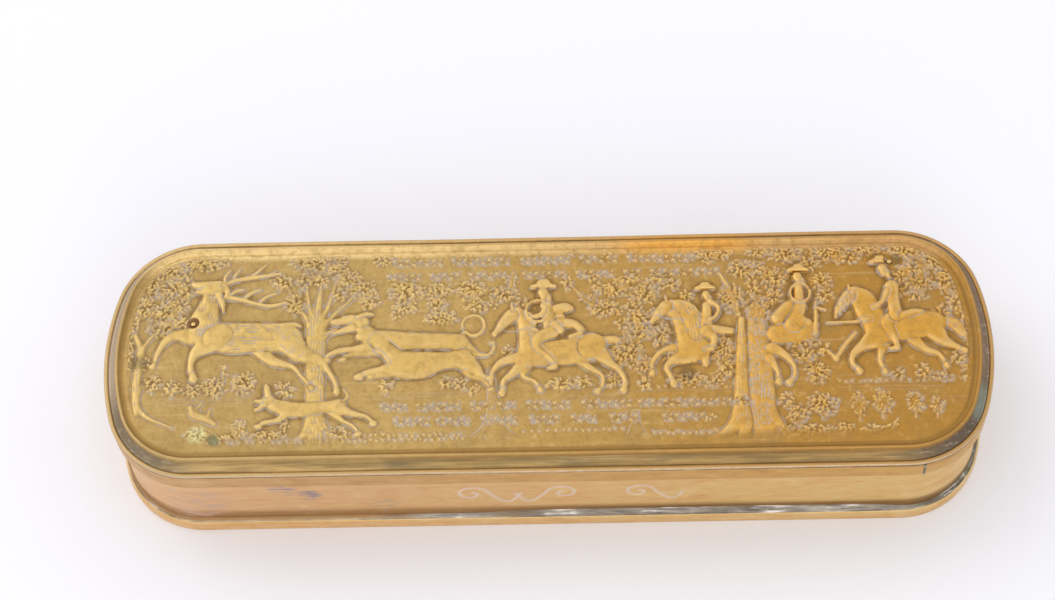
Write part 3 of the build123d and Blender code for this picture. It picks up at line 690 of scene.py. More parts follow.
def woods():
    """Trees and bushes behind the hunt."""
    tree([[(-73.2, -12, 0.9), (-73.4, -6, 0.9), (-73, 0, 0.8), (-74.4, 4.2, 0.5)],
          [(-73.2, -0.4, 0.6), (-71.8, 2.4, 0.45), (-69.4, 5.2, 0.3)],
          [(-73, -11, 0.7), (-70.8, -13.2, 0.5), (-66.4, -15.2, 0.25)],
          [(-72.8, -8.2, 0.4), (-72.2, -6.9, 0.3), (-70.6, -6.6, 0.2)]],
         [(-63, 18.5, 4.9, 1.8), (-68.2, 17.2, 2.2, 2.1), (-71.6, 14.2, 1.9, 2.6),
          (-68.2, 13.2, 2.2, 2.4), (-66, 14.6, 1.4, 1.4), (-72.8, 9.4, 1.7, 2.4),
          (-68.8, 8.2, 2.8, 2.4), (-66.2, 9.8, 1.6, 1.8), (-69.4, 4.9, 2.6, 1.6),
          (-66, 6, 1.6, 1.3), (-74.8, 6.4, 1.1, 2), (-65.4, 12.4, 1.2, 1.2),
          (-75.3, 0, 0.8, 4.2), (-71.8, -2.2, 0.6, 1.6)])
    tree([[(-41, -18.8, 1.3), (-41, -15.4, 1.8), (-41.3, -8, 1.8), (-41.4, 0, 1.9),
           (-41.5, 4.6, 1.8), (-41.4, 7.6, 1), (-41, 11, 0.5), (-40.6, 14.6, 0.25)],
          [(-41.6, -14.6, 1.5), (-43, -17.2, 0.9), (-45.6, -18.9, 0.3)],
          [(-40.4, -14.6, 1.5), (-38.8, -17.2, 0.9), (-36, -18.9, 0.3)],
          [(-42.2, 4, 1), (-43.6, 7, 0.55), (-45.6, 9.6, 0.4), (-46.6, 12.6, 0.2)],
          [(-41.9, 6, 0.8), (-43, 9.4, 0.5), (-43.6, 13.6, 0.25)],
          [(-40.9, 5.6, 0.8), (-39.4, 9, 0.5), (-38.2, 13.6, 0.25)],
          [(-40.6, 4.4, 0.9), (-38.4, 7, 0.5), (-35.4, 10.2, 0.4), (-33.6, 12.6, 0.2)],
          [(-40.2, 2.6, 0.8), (-37.8, 4.4, 0.45), (-36.6, 7, 0.25)]],
         [(-41.4, 18.2, 4.9, 1.9), (-47.9, 14.2, 2, 1.3), (-45.4, 9.4, 1.8, 2.6),
          (-44, 14.2, 1.3, 1.3), (-41, 14.2, 1.5, 1.5), (-37.8, 16.6, 2.2, 1.7),
          (-35.8, 14.6, 2.2, 1.8), (-33.2, 12.4, 2.5, 1.8), (-31.8, 10, 1.8, 1.7),
          (-37.4, 11.4, 1.2, 1.3)], bark=0.26)
    for crown in [(-29.8, 19, 1.7, 1.5), (-25.2, 11.6, 3.5, 2.1), (-25.4, 8.4, 2.2, 1.3),
                  (-27, 6.8, 0.8, 0.6), (-19.4, 11.8, 2.2, 1.4), (-19.6, 9, 1.7, 1.6),
                  (-18.8, 6.2, 3, 1.6), (-13.6, 11.8, 3, 1.9), (-12.6, 8.6, 2, 1.5),
                  (-7.6, 10.8, 2.7, 1.5), (-6.2, 13.4, 1, 1.3), (-9.6, 8.6, 1.2, 0.9),
                  (3.9, 13, 0.9, 1.4), (12.6, 11.5, 2.8, 1.6), (9.2, 11.8, 0.7, 1.4),
                  (7.4, 9.4, 1.3, 0.9), (10.6, 7.4, 3, 1.7), (15.4, 7.6, 1.2, 1.4),
                  (18, 10.4, 2.4, 2.1), (22.7, 12.2, 2.2, 1.2), (25.4, 9.6, 1.2, 1.1),
                  (16.6, 5.4, 1.8, 2), (16.4, 2.2, 2.4, 1.4), (13.8, 4.2, 1.2, 1),
                  (14.4, -1.8, 3.2, 2.7), (17.4, -4.2, 1.7, 1.8), (20.6, 1.8, 2.1, 2.3),
                  (31.5, -1.2, 2.1, 2.4), (32.2, -5.4, 1.5, 1.8), (25.4, -7.2, 3.4, 1.1),
                  (-4.4, 8.8, 1.2, 1.1), (20.4, 6, 2, 1.5), (22.4, -1.8, 1.5, 1.8),
                  (15, 13.4, 1.8, 0.9), (20.2, 13.6, 1.6, 0.9), (8, 13.8, 1.2, 0.8),
                  (2.4, -7.8, 2.6, 1.1), (6.6, -7.6, 1.6, 0.9), (12, -7.4, 1.2, 1.5),
                  (17.4, -7.8, 1.1, 1.5), (29.8, -8, 1.8, 0.9), (-17.8, -7.2, 1.3, 1),
                  (-15.2, -7.4, 1.2, 1.2), (-12.9, -8.6, 0.9, 0.9), (-6.8, -1.4, 1, 1.5)]:
        foliage(*crown)
    raise_shape([[(-6.4, 12.4, 0.5), (-5.8, 15.4, 0.25)]], 0.3)
    raise_shape([[(8.4, 8, 0.35), (6.6, 10, 0.3), (5, 12, 0.2)],
                 [(8.4, 8, 0.35), (9, 10.6, 0.22)]], 0.3)
    tree([[(37.6, 6.4, 1.5), (37.9, 0, 2), (38.2, -8, 2.3), (38.2, -14, 2.4),
           (38.6, -19, 2)],
          [(38.6, -13.6, 1.9), (41.2, -17.2, 1.1), (44.4, -18.9, 0.3)]],
         [(41.6, 13, 2.4, 1.9), (38, 15, 2, 1.6), (38.4, 19, 2.2, 1.3),
          (43.6, 18.2, 3.3, 1.9), (41, 9.2, 1.7, 1.8)], bark=0.16)
    for _ in range(BARK_MARKS):
        y = SEED.uniform(-17, 6.5)
        half = 1.4 + 0.05 * (6.5 - y)
        x = 37.9 + SEED.uniform(-half, half)
        groove([(x - 0.12, y), (x + 0.12, y - 0.05)], depth=0.12, width=0.1, pale=0.8)
    tree([[(35.1, 4.6, 0.7), (34.9, -1, 1.05), (34.6, -8, 1.3), (34.4, -12.6, 1.5),
           (33.6, -15.8, 1.5), (31.4, -18, 0.9), (28.4, -19.2, 0.3)],
          [(34.6, -13, 1.3), (35, -16.4, 1.4), (34.6, -19.2, 0.9)]], [], bark=0.13,
         top=0.5)
    raise_shape([[(34.6, 5.6, 0.5), (33.2, 10.6, 0.45), (31.4, 14.4, 0.3)]], 0.35, base=0.2)
    for crown in [(29.4, 18.6, 2.1, 2), (32.6, 18.8, 1.5, 1.7), (35.4, 15.2, 2.3, 1.7),
                  (33.6, 9, 2.4, 2.6), (37.4, 11, 1.1, 2), (38.4, 6.6, 2, 2.6),
                  (51.2, 18.2, 3.4, 1.8), (57.8, 18.8, 3.4, 1.3), (65.2, 18.2, 3.6, 1.6),
                  (70, 16.2, 2.6, 2.6), (66.4, 14.4, 2.6, 1.5), (67.6, 11.2, 2.7, 1.7),
                  (66.8, 8.8, 1.7, 1.1), (72.2, 11.6, 1.6, 2.4), (73.6, 7.4, 1.1, 2.2),
                  (49.8, 12.2, 1.9, 1.7), (50.2, 9.2, 1.5, 1.6), (45.8, -0.4, 2.6, 1.5),
                  (46.2, -2.8, 2.2, 1.3), (48.2, -6.4, 2.1, 2.1), (75, 2, 0.6, 3.4),
                  (70.4, 4.8, 2, 1.8), (63, 9.6, 1.6, 1.6), (64, 12.6, 1.6, 1.4),
                  (47.8, 15.8, 2, 1.2), (54.4, 16.8, 2.4, 1), (60.8, 6.4, 1.4, 0.9),
                  (49.6, -1.6, 1, 1.2), (66.8, -6.6, 1.2, 1.4), (70.2, -7.8, 1.6, 0.9),
                  (62.4, -7, 1, 1), (73.4, -3.8, 1.2, 1.6), (74.6, -7, 0.8, 1.8)]:
        foliage(*crown)
    raise_shape([[(51.6, -3.8, 0.5), (53.4, -1, 0.5), (55.4, 1.4, 0.42)],
                 [(51.6, -3.8, 0.5), (50, -2, 0.3)]], 0.35, base=0.25)


def foreground():
    """The ground, water, bushes and borders in front of the hunt."""
    for y, x0, x1 in ((-9.4, -72, -50), (-9.9, -72, -52), (-10.5, -72, -50),
                      (-9.2, -36, -12), (-9.8, -30, -14), (-10.3, -34, -22),
                      (-9.5, 14, 33), (-8.8, 51, 74), (-9.5, 50, 72),
                      (-19, -64, -14), (-19.1, -6, 30), (-19, 44, 68),
                      (-18.5, -30, -15), (-17, 0, 12), (-10.2, 52, 68),
                      (-10.3, 0, 16)):
        ground_line(x0, x1, y)
    for x, y, size in ((-70.4, -6.2, 1.8), (-67, -7.2, 1.6), (-63.2, -7.8, 1.4),
                       (-59.4, -7.2, 2), (-54, -6.4, 2.2), (-46.6, -7.8, 1.7),
                       (-28.6, -7.6, 1.4), (48.8, -12.8, 2.5), (44.4, -14.6, 1.9),
                       (42.6, -11.8, 1.3)):
        shrub(x, y, size)
    for sprout in ((-57.8, -3.9, 0.5, 1.1), (-54.4, -15.6, 1.4, 2.3), (55.2, -12.8, 1.4, 2.3),
                   (59.3, -12.2, 1.8, 2.6), (65, -12.6, 1.5, 2.3), (68.8, -13.2, 1.2, 1.7)):
        sapling(*sprout)
    for crown in ((-49.6, -17.2, 3, 0.9), (-57.2, -17.6, 2.4, 0.7), (-37, -17, 2.2, 1.3),
                  (46.6, -17.6, 3.6, 0.9), (52.6, -17.4, 1.6, 0.8), (57.2, -17.8, 2.4, 0.6),
                  (60.6, -16.8, 1.2, 0.8), (42, -17.6, 1.4, 0.9), (-46.2, -15, 0.9, 1.2)):
        foliage(*crown)
    raise_shape([[(-63.4, -11.2, 0.6), (-62.6, -12.6, 0.95), (-60.8, -13.4, 0.9),
                  (-59, -14.6, 0.55)],
                 [(-62.2, -11.4, 0.5), (-61.4, -10.4, 0.3)],
                 [(-60.2, -13, 0.6), (-59.8, -11.8, 0.3)]], 0.3, base=0.12, hair=0.08)
    foliage(-62, -16.6, 2, 0.9, mound=0.3)
    raise_shape([[(-10, -5, 0.7), (-9.6, -10, 0.9), (-9.2, -13.6, 1.5),
                  (-9.3, -17.6, 1.6), (-9.4, -19.4, 1)],
                 [(-9.6, -14.6, 1.2), (-11.4, -17.2, 0.8), (-14.4, -18.9, 0.3)],
                 [(-9, -14.6, 1.2), (-7.4, -17.2, 0.8), (-4.6, -18.7, 0.3)]], 0.14,
                hair=0.12, base=0.05, dome=0.8, spacing=0.44)
    raise_shape([[(15.6, -14, 0.7), (15.7, -17, 0.8), (15.7, -19.3, 0.5)],
                 [(15.5, -16, 0.6), (14, -18.9, 0.2)],
                 [(15.7, -16, 0.6), (17.6, -18.7, 0.2)]], 0.12, hair=0.12, base=0.04,
                spacing=0.4)
    borders = (
        (17.7, ((-28.2, -18.6), (-17.4, -6.4), (-4.9, 4.6), (6, 13.2), (14.6, 27.2))),
        (14.7, ((-29.2, -22.6), (-21.4, -15.4), (-14.2, -7), (-4.6, 3.6), (5.2, 12.6),
                (14, 17.4), (18.8, 31.6))),
        (-11.9, ((-29.8, -24.6), (-23.4, -15.2), (-13.8, -5.2), (-3.8, 4.4), (6, 15.2),
                 (16, 36.4))),
        (-14.8, ((-27.4, -20.6), (-19.8, -13.4), (-11.8, -5), (-3.4, 2.4), (4, 9),
                 (11, 16.4), (20.2, 28))),
    )
    for y, runs in borders:
        for x0, x1 in runs:
            sprig(x0, x1, y)
    for x, y in ((-23.6, 19.5), (-14, 19.5), (-3.6, 19.5), (4.6, 19.5), (11.3, 19.6),
                 (15.2, 19.6), (29, -14.8)):
        foliage(x, y, 1, 0.6)
    sunk = np.clip((GY + WORN_EDGE) / WORN_DEPTH, 0.25, 1)
    height[...] *= sunk
    grime[...] *= sunk
    grass(-60, -14.6, -18.5)
    grass(-34, -15, -17.6)
    grass(-4, 14, -17.2, tall=0.5)
    grass(19, 31, -18)
    grass(20, 33, -8.9)
    grass(52, 74, -8.4, tall=0.6)


def carve():
    """The whole picture, finished: softened, faded at its border, lightly uneven."""
    woods()
    foreground()
    first_rider()
    third_rider()
    second_rider()
    fourth_rider()
    hounds()
    stag()
    inset = plan_inset(GX, GY)
    fade = np.clip((inset - FIELD_INSET - FADE_FROM) / FADE_OVER, 0, 1)
    fade = fade * fade * (3 - 2 * fade)
    grime[...] *= fade
    height[...] = RELIEF * fade * height + 0.025 * noise(5, 11)
    height[...] += 0.012 * GRAIN + 0.01 * noise(0.6, 12)
    for x, y in RIVETS:
        off = np.hypot(GX - x, GY - y)
        seat = np.clip((SEAT_R - off) / SEAT_SOFT, 0, 1)
        height[...] = height * (1 - seat) - SEAT_DEPTH * seat


# ------------------------------------------------------------------ meshes

def make_object(name, points, faces, body, marks, sharp=None):
    """A mesh object from points in millimetres, riding a body.

    marks are the numbers kept on its points, by name. Edges that bend more than
    sharp degrees stay crisp.
    """
    mesh = bpy.data.meshes.new(name)
    mesh.from_pydata((np.asarray(points, float) * MM).tolist(), [], faces)
    mesh.validate()
    mesh.update()
    for key, values in marks.items():
        attribute = mesh.attributes.new(key, "FLOAT", "POINT")
        attribute.data.foreach_set("value", np.asarray(values, np.float32))
    mesh.shade_smooth()
    if sharp:
        mesh.set_sharp_from_angle(angle=math.radians(sharp))
    obj = bpy.data.objects.new(name, mesh)
    bpy.context.scene.collection.objects.link(obj)
    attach(obj, body)
    return obj


def strip(a, b):
    """Quads between two rows of point numbers of the same length."""
    return [(a[i], a[i + 1], b[i + 1], b[i]) for i in range(len(a) - 1)]


def loop(a, b):
    """Quads between two closed rows of point numbers of the same length."""
    return strip([*a, a[0]], [*b, b[0]])


def bilinear(field, x, y):
    """The value of a grid field at places on the lid."""
    u = np.clip((x + HALF_X) / GRID, 0, field.shape[1] - 1.001)
    v = np.clip((y + HALF_Y) / GRID, 0, field.shape[0] - 1.001)
    i, j = u.astype(int), v.astype(int)
    a, b = u - i, v - j
    low = field[j, i] * (1 - a) + field[j, i + 1] * a
    high = field[j + 1, i] * (1 - a) + field[j + 1, i + 1] * a
    return low * (1 - b) + high * b


def arc(start, middle, end, steps):
    """Points on the circle through three points, from start to end."""
    (ax, ay), (bx, by), (cx, cy) = start, middle, end
    d = 2 * (ax * (by - cy) + bx * (cy - ay) + cx * (ay - by))
    a2, b2, c2 = ax**2 + ay**2, bx**2 + by**2, cx**2 + cy**2
    ox = (a2 * (by - cy) + b2 * (cy - ay) + c2 * (ay - by)) / d
    oy = (a2 * (cx - bx) + b2 * (ax - cx) + c2 * (bx - ax)) / d
    radius = math.hypot(ax - ox, ay - oy)
    angles = np.unwrap([math.atan2(ay - oy, ax - ox), math.atan2(by - oy, bx - ox),
                        math.atan2(cy - oy, cx - ox)])
    return [(ox + radius * math.cos(t), oy + radius * math.sin(t))
            for t in np.linspace(angles[0], angles[2], steps)]


def ripple(places, length, size, seed, waves=(3, 5, 8, 13, 21)):
    """A gentle closed unevenness along a curve, as in hand-worked sheet."""
    rng = np.random.default_rng(seed)
    total = np.zeros_like(places)
    for wave in waves:
        total += np.sin(2 * math.pi * wave * places / length + rng.uniform(0, 6.3)) / wave
    return size * total


def lid_section():
    """The lid plate's upper section as (inset, z), from its lip to its field."""
    z = LIP_BOTTOM
    return [
        (1.5, z), (0.35, z), *arc((0.35, z), (0.0, z + 0.35), (0.35, z + 0.7), 7)[1:],
        (0.6, z + 0.7), *arc((0.6, z + 0.7), (0.82, z + 0.58), (0.9, z + 0.35), 4)[1:],
        *arc((0.9, z + 0.35), (1.92, z + 1.31), (2.35, z + 2.65), 8)[1:],
        *arc((2.35, z + 2.65), (2.65, CREST_TOP), (2.95, z + 2.65), 6)[1:],
        *arc((2.95, z + 2.65), (3.4, z + 2.45), (FIELD_INSET, FIELD_TOP), 6)[1:],
    ]


def coons(side, top, other, bottom, rows, cols):
    """Spread a grid of points inside four sides that run round it in order."""
    right, left = np.array(side), np.array(other)[::-1]
    high, low = np.array(top)[::-1], np.array(bottom)
    s = np.linspace(0, 1, cols + 1)[None, :, None]
    t = np.linspace(0, 1, rows + 1)[:, None, None]
    grid = (1 - t) * low[None] + t * high[None] + (1 - s) * left[:, None] + s * right[:, None]
    grid -= ((1 - s) * (1 - t) * low[0] + s * (1 - t) * low[-1]
             + (1 - s) * t * high[0] + s * t * high[-1])
    return grid


def field_patch(rows, cols):
    """A grid over the field, and its rim's places along the plan curve.

    The grid's four corners are in the middle of the field's round corners. The
    rim runs anticlockwise from the front right corner, with no repeat.
    """
    runs = plan_segments(FIELD_INSET)
    whole = plan_length(FIELD_INSET)
    first = runs[0][0] + runs[1][0] / 2
    second = runs[0][0] + runs[1][0] + runs[2][0] + runs[3][0] / 2
    right = np.linspace(first, second, rows + 1)
    back = np.linspace(second, second + whole / 2 - (second - first), cols + 1)
    left = right + whole / 2
    front = back + whole / 2
    sides = [plan_points(FIELD_INSET, places)[0] for places in (right, back, left, front)]
    grid = coons(*sides, rows, cols)
    rim = np.concatenate([right[:-1], back[:-1], left[:-1], front[:-1]])
    number = np.arange((rows + 1) * (cols + 1)).reshape(rows + 1, cols + 1)
    border = np.concatenate([number[:-1, -1], number[-1, :0:-1], number[:0:-1, 0],
                             number[0, :-1]])
    return grid.reshape(-1, 2), number, border, rim


def grid_faces(number, flip=False):
    """Quads of a rectangular grid of point numbers."""
    a, b = number[:-1, :-1].ravel(), number[:-1, 1:].ravel()
    c, d = number[1:, 1:].ravel(), number[1:, :-1].ravel()
    rows = np.stack([a, d, c, b] if flip else [a, b, c, d], axis=1)
    return rows.tolist()


def lid_plate():
    """The stamped plate: lip, cove, ridge, and the picture in relief.

    The same sheet shows the picture from underneath, softened and sunk.
    """
    rows, cols = 2 * FIELD_ROWS, 2 * FIELD_COLS
    top, top_number, top_border, _ = field_patch(rows, cols)
    under, under_number, under_border, coarse = field_patch(FIELD_ROWS, FIELD_COLS)
    base, normals = plan_points(FIELD_INSET, coarse)
    base = base - FIELD_INSET * normals
    whole = plan_length(FIELD_INSET)
    sway = ripple(coarse, whole, 0.12, 21)
    lift = ripple(coarse, whole, 0.1, 22)
    buckle = ripple(coarse, whole, 0.05, 23, waves=(17, 29, 41, 60))

    points, inset_of, numbers = [], [], []

    def ring(inset, z, loose):
        """Add one closed row of the section. loose is how much it may wander."""
        where = base + (inset + loose * (sway + buckle))[:, None] * normals
        start = sum(len(p) for p in points)
        points.append(np.column_stack([where, z + loose * lift]))
        inset_of.append(np.full(len(coarse), inset))
        numbers.append(np.arange(start, start + len(coarse)))

    for inset, z in lid_section()[:-1]:
        ring(inset, z, np.clip((FIELD_INSET - inset) / 3, 0, 1) * 0.8)
    for inset, z in [(3.0, FIELD_TOP - SHEET_T),
                     *arc((3.0, FIELD_TOP - SHEET_T), (2.38, LIP_BOTTOM + 1.02),
                          (1.5, LIP_BOTTOM), 7)[1:-1]]:
        ring(inset, z, np.clip((FIELD_INSET - inset) / 3, 0, 1) * 0.8)
    upper = len(lid_section()) - 1
    top_rings, under_rings = numbers[:upper], numbers[upper:]

    start = sum(len(p) for p in points)
    relief = bilinear(height, top[:, 0], top[:, 1])
    points.append(np.column_stack([top, FIELD_TOP + relief]))
    inset_of.append(plan_inset(top[:, 0], top[:, 1]))
    top_number, top_border = top_number + start, top_border + start
    start += len(top)
    soft = bilinear(blur(height, 0.45), under[:, 0], under[:, 1]) * 0.8
    points.append(np.column_stack([under, FIELD_TOP - SHEET_T + soft]))
    inset_of.append(np.full(len(under), FIELD_INSET))
    under_number, under_border = under_number + start, under_border + start

    faces = grid_faces(top_number) + grid_faces(under_number, flip=True)
    for a, b in zip(top_rings, top_rings[1:]):
        faces += loop(a, b)
    inner, outer = [*top_border, top_border[0]], [*top_rings[-1], top_rings[-1][0]]
    for i in range(len(coarse)):
        a, b, c = inner[2 * i], inner[2 * i + 1], inner[2 * i + 2]
        d, e = outer[i], outer[i + 1]
        faces += [(d, b, a), (d, e, b), (e, c, b)]
    faces += loop(under_border, under_rings[0])
    for a, b in zip(under_rings, under_rings[1:]):
        faces += loop(a, b)
    faces += loop(under_rings[-1], top_rings[0])

    points = np.vstack(points)
    x, y = points[:, 0], points[:, 1]
    on_top = np.zeros(len(points))
    on_top[top_number.ravel()] = 1
    # how far each place lies below its softened surroundings; this drives the painted
    # highlights and painted shade on the picture
    hollow = bilinear(blur(height, 0.55) - height, x, y) * on_top
    marks = {
        "inset": np.concatenate(inset_of),
        "grime": bilinear(grime, x, y) * on_top,
        "hollow": hollow,
        "rise": bilinear(height, x, y) * on_top,
        "on_top": on_top,
    }
    obj = make_object("lid_plate_relief", points, faces, "lid", marks)
    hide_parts("lid_plate")
    return obj


def swept(name, section, body, node, shape, step=0.9, closed_floor=False, gap=None,
          sharp=35):
    """A ring of sheet or solder: a section of (inset, z) carried round the box.

    gap is a place along the edge and a width, where the ring is open. shape
    bends the ring: it is given the places along the edge and a point's number in
    the section, and returns changes of inset and of z, and how deeply the metal
    is engraved there.
    """
    whole = plan_length(0)
    count = int(whole / step)
    places = np.arange(count) * whole / count
    if gap:
        where, width = gap
        places = np.linspace(where + width / 2, where - width / 2 + whole, count)
    base, normals = plan_points(0, places)
    points, rows, cuts = [], [], []
    for k, (inset, z) in enumerate(section):
        du, dz, mark = shape(places, k)
        points.append(np.column_stack([base + (inset + du + 0 * places)[:, None] * normals,
                                       z + dz + 0 * places]))
        cuts.append(mark + 0 * places)
        rows.append(list(range(k * count, (k + 1) * count)))
    join = strip if gap else loop
    faces = []
    for a, b in zip(rows, rows[1:]):
        faces += join(a, b)
    if closed_floor:
        faces += [tuple(rows[0][::-1]), tuple(rows[-1])]
    else:
        faces += join(rows[-1], rows[0])
    if gap:
        faces += [tuple(row[0] for row in rows), tuple(row[-1] for row in rows[::-1])]
    obj = make_object(name, np.vstack(points), faces, body, {"cut": np.concatenate(cuts)},
                      sharp)
    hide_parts(node)
    return obj


# ------------------------------------------------------------------ materials

def tone(red, green, blue):
    """A colour given as 0 to 255 on screen, for a shader."""
    def linear(v):
        v /= 255
        return v / 12.92 if v <= 0.04045 else ((v + 0.055) / 1.055) ** 2.4
    return (linear(red), linear(green), linear(blue), 1.0)


class Paint:
    """A procedural material, its nodes added one at a time.

    Every pattern is in the object's own metres, so scale is in lumps a metre.
    """

    def __init__(self, name, metallic=1.0):
        self.material = bpy.data.materials.new(name)
        self.material.use_nodes = True
        tree = self.material.node_tree
        self.nodes, self.links = tree.nodes, tree.links
        self.shader = self.nodes["Principled BSDF"]
        self.shader.inputs["Metallic"].default_value = metallic
        self.place = self.add("ShaderNodeTexCoord").outputs["Object"]
        self.axes = self.add("ShaderNodeSeparateXYZ", {0: self.place}).outputs

    def add(self, kind, sockets=None, **settings):
        """A node. Its sockets are numbers, colours or other nodes' outputs."""
        node = self.nodes.new(kind)
        for key, value in settings.items():
            setattr(node, key, value)
        for key, value in (sockets or {}).items():
            if isinstance(value, bpy.types.NodeSocket):
                self.links.new(value, node.inputs[key])
            else:
                node.inputs[key].default_value = value
        return node

    def noise(self, scale, detail=3, rough=0.5, stretch=None, warp=0.0):
        """Noise from 0 to 1."""
        place = self.place
        if stretch:
            place = self.add("ShaderNodeMapping", {0: place, 3: stretch}).outputs[0]
        return self.add("ShaderNodeTexNoise", {
            "Vector": place, "Scale": scale, "Detail": detail, "Roughness": rough,
            "Distortion": warp}).outputs[0]

    def attribute(self, name):
        """A number kept on the mesh."""
        return self.add("ShaderNodeAttribute", attribute_name=name).outputs["Fac"]

    def ramp(self, value, low, high, start=0.0, end=1.0):
        """value between low and high, spread smoothly from start to end."""
        return self.add("ShaderNodeMapRange", {
            0: value, 1: low, 2: high, 3: start, 4: end},
            interpolation_type="SMOOTHSTEP").outputs[0]

    def math(self, operation, a, b=0.0, clamp=False):
        """A sum, product or the like of two numbers."""
        return self.add("ShaderNodeMath", {0: a, 1: b}, operation=operation,
                        use_clamp=clamp).outputs[0]

    def shifted(self, value, by, amount):
        """value plus an amount of by."""
        return self.math("ADD", value, self.math("MULTIPLY", by, amount))

    def times(self, *values):
        """The product of some numbers."""
        total = values[0]
        for value in values[1:]:
            total = self.math("MULTIPLY", total, value)
        return total

    def mix(self, factor, a, b):
        """The colour a, with b over it."""
        return self.add("ShaderNodeMix", {0: factor, 6: a, 7: b},
                        data_type="RGBA").outputs[2]

    def lay(self, shade, *shares):
        """Lay a shade over the colour so far, by the product of some shares."""
        self.colour = self.mix(self.times(*shares), self.colour, shade)

    def bump(self, value, distance, strength=1.0, onto=None):
        """Tilt the surface by a height in millimetres."""
        sockets = {"Height": value, "Distance": distance * MM, "Strength": strength}
        if onto:
            sockets["Normal"] = onto
        return self.add("ShaderNodeBump", sockets).outputs[0]

    def finish(self, **sockets):
        """Feed the shader with the colour and the rest, and hand back the material."""
        self.links.new(self.colour, self.shader.inputs["Base Color"])
        for key, value in sockets.items():
            socket = self.shader.inputs[key]
            if isinstance(value, bpy.types.NodeSocket):
                self.links.new(value, socket)
            else:
                socket.default_value = value
        return self.material


def band(paint, value, low, high, soft):
    """1 between low and high, falling to 0 over soft outside them."""
    return paint.math("MINIMUM", paint.ramp(value, low - soft, low),
                      paint.ramp(value, high, high + soft, 1, 0))


def spot(paint, place, reach, ragged=0.5):
    """1 at a place on the object, falling raggedly to 0 at a reach from it."""
    away = paint.add("ShaderNodeVectorMath", {0: paint.place, 1: place},
                     operation="DISTANCE").outputs["Value"]
    edge = paint.noise(380, 4, 0.65)
    away = paint.shifted(away, edge, ragged * reach)
    return paint.ramp(away, reach * (1 + 0.5 * ragged), reach * (0.4 + 0.5 * ragged))


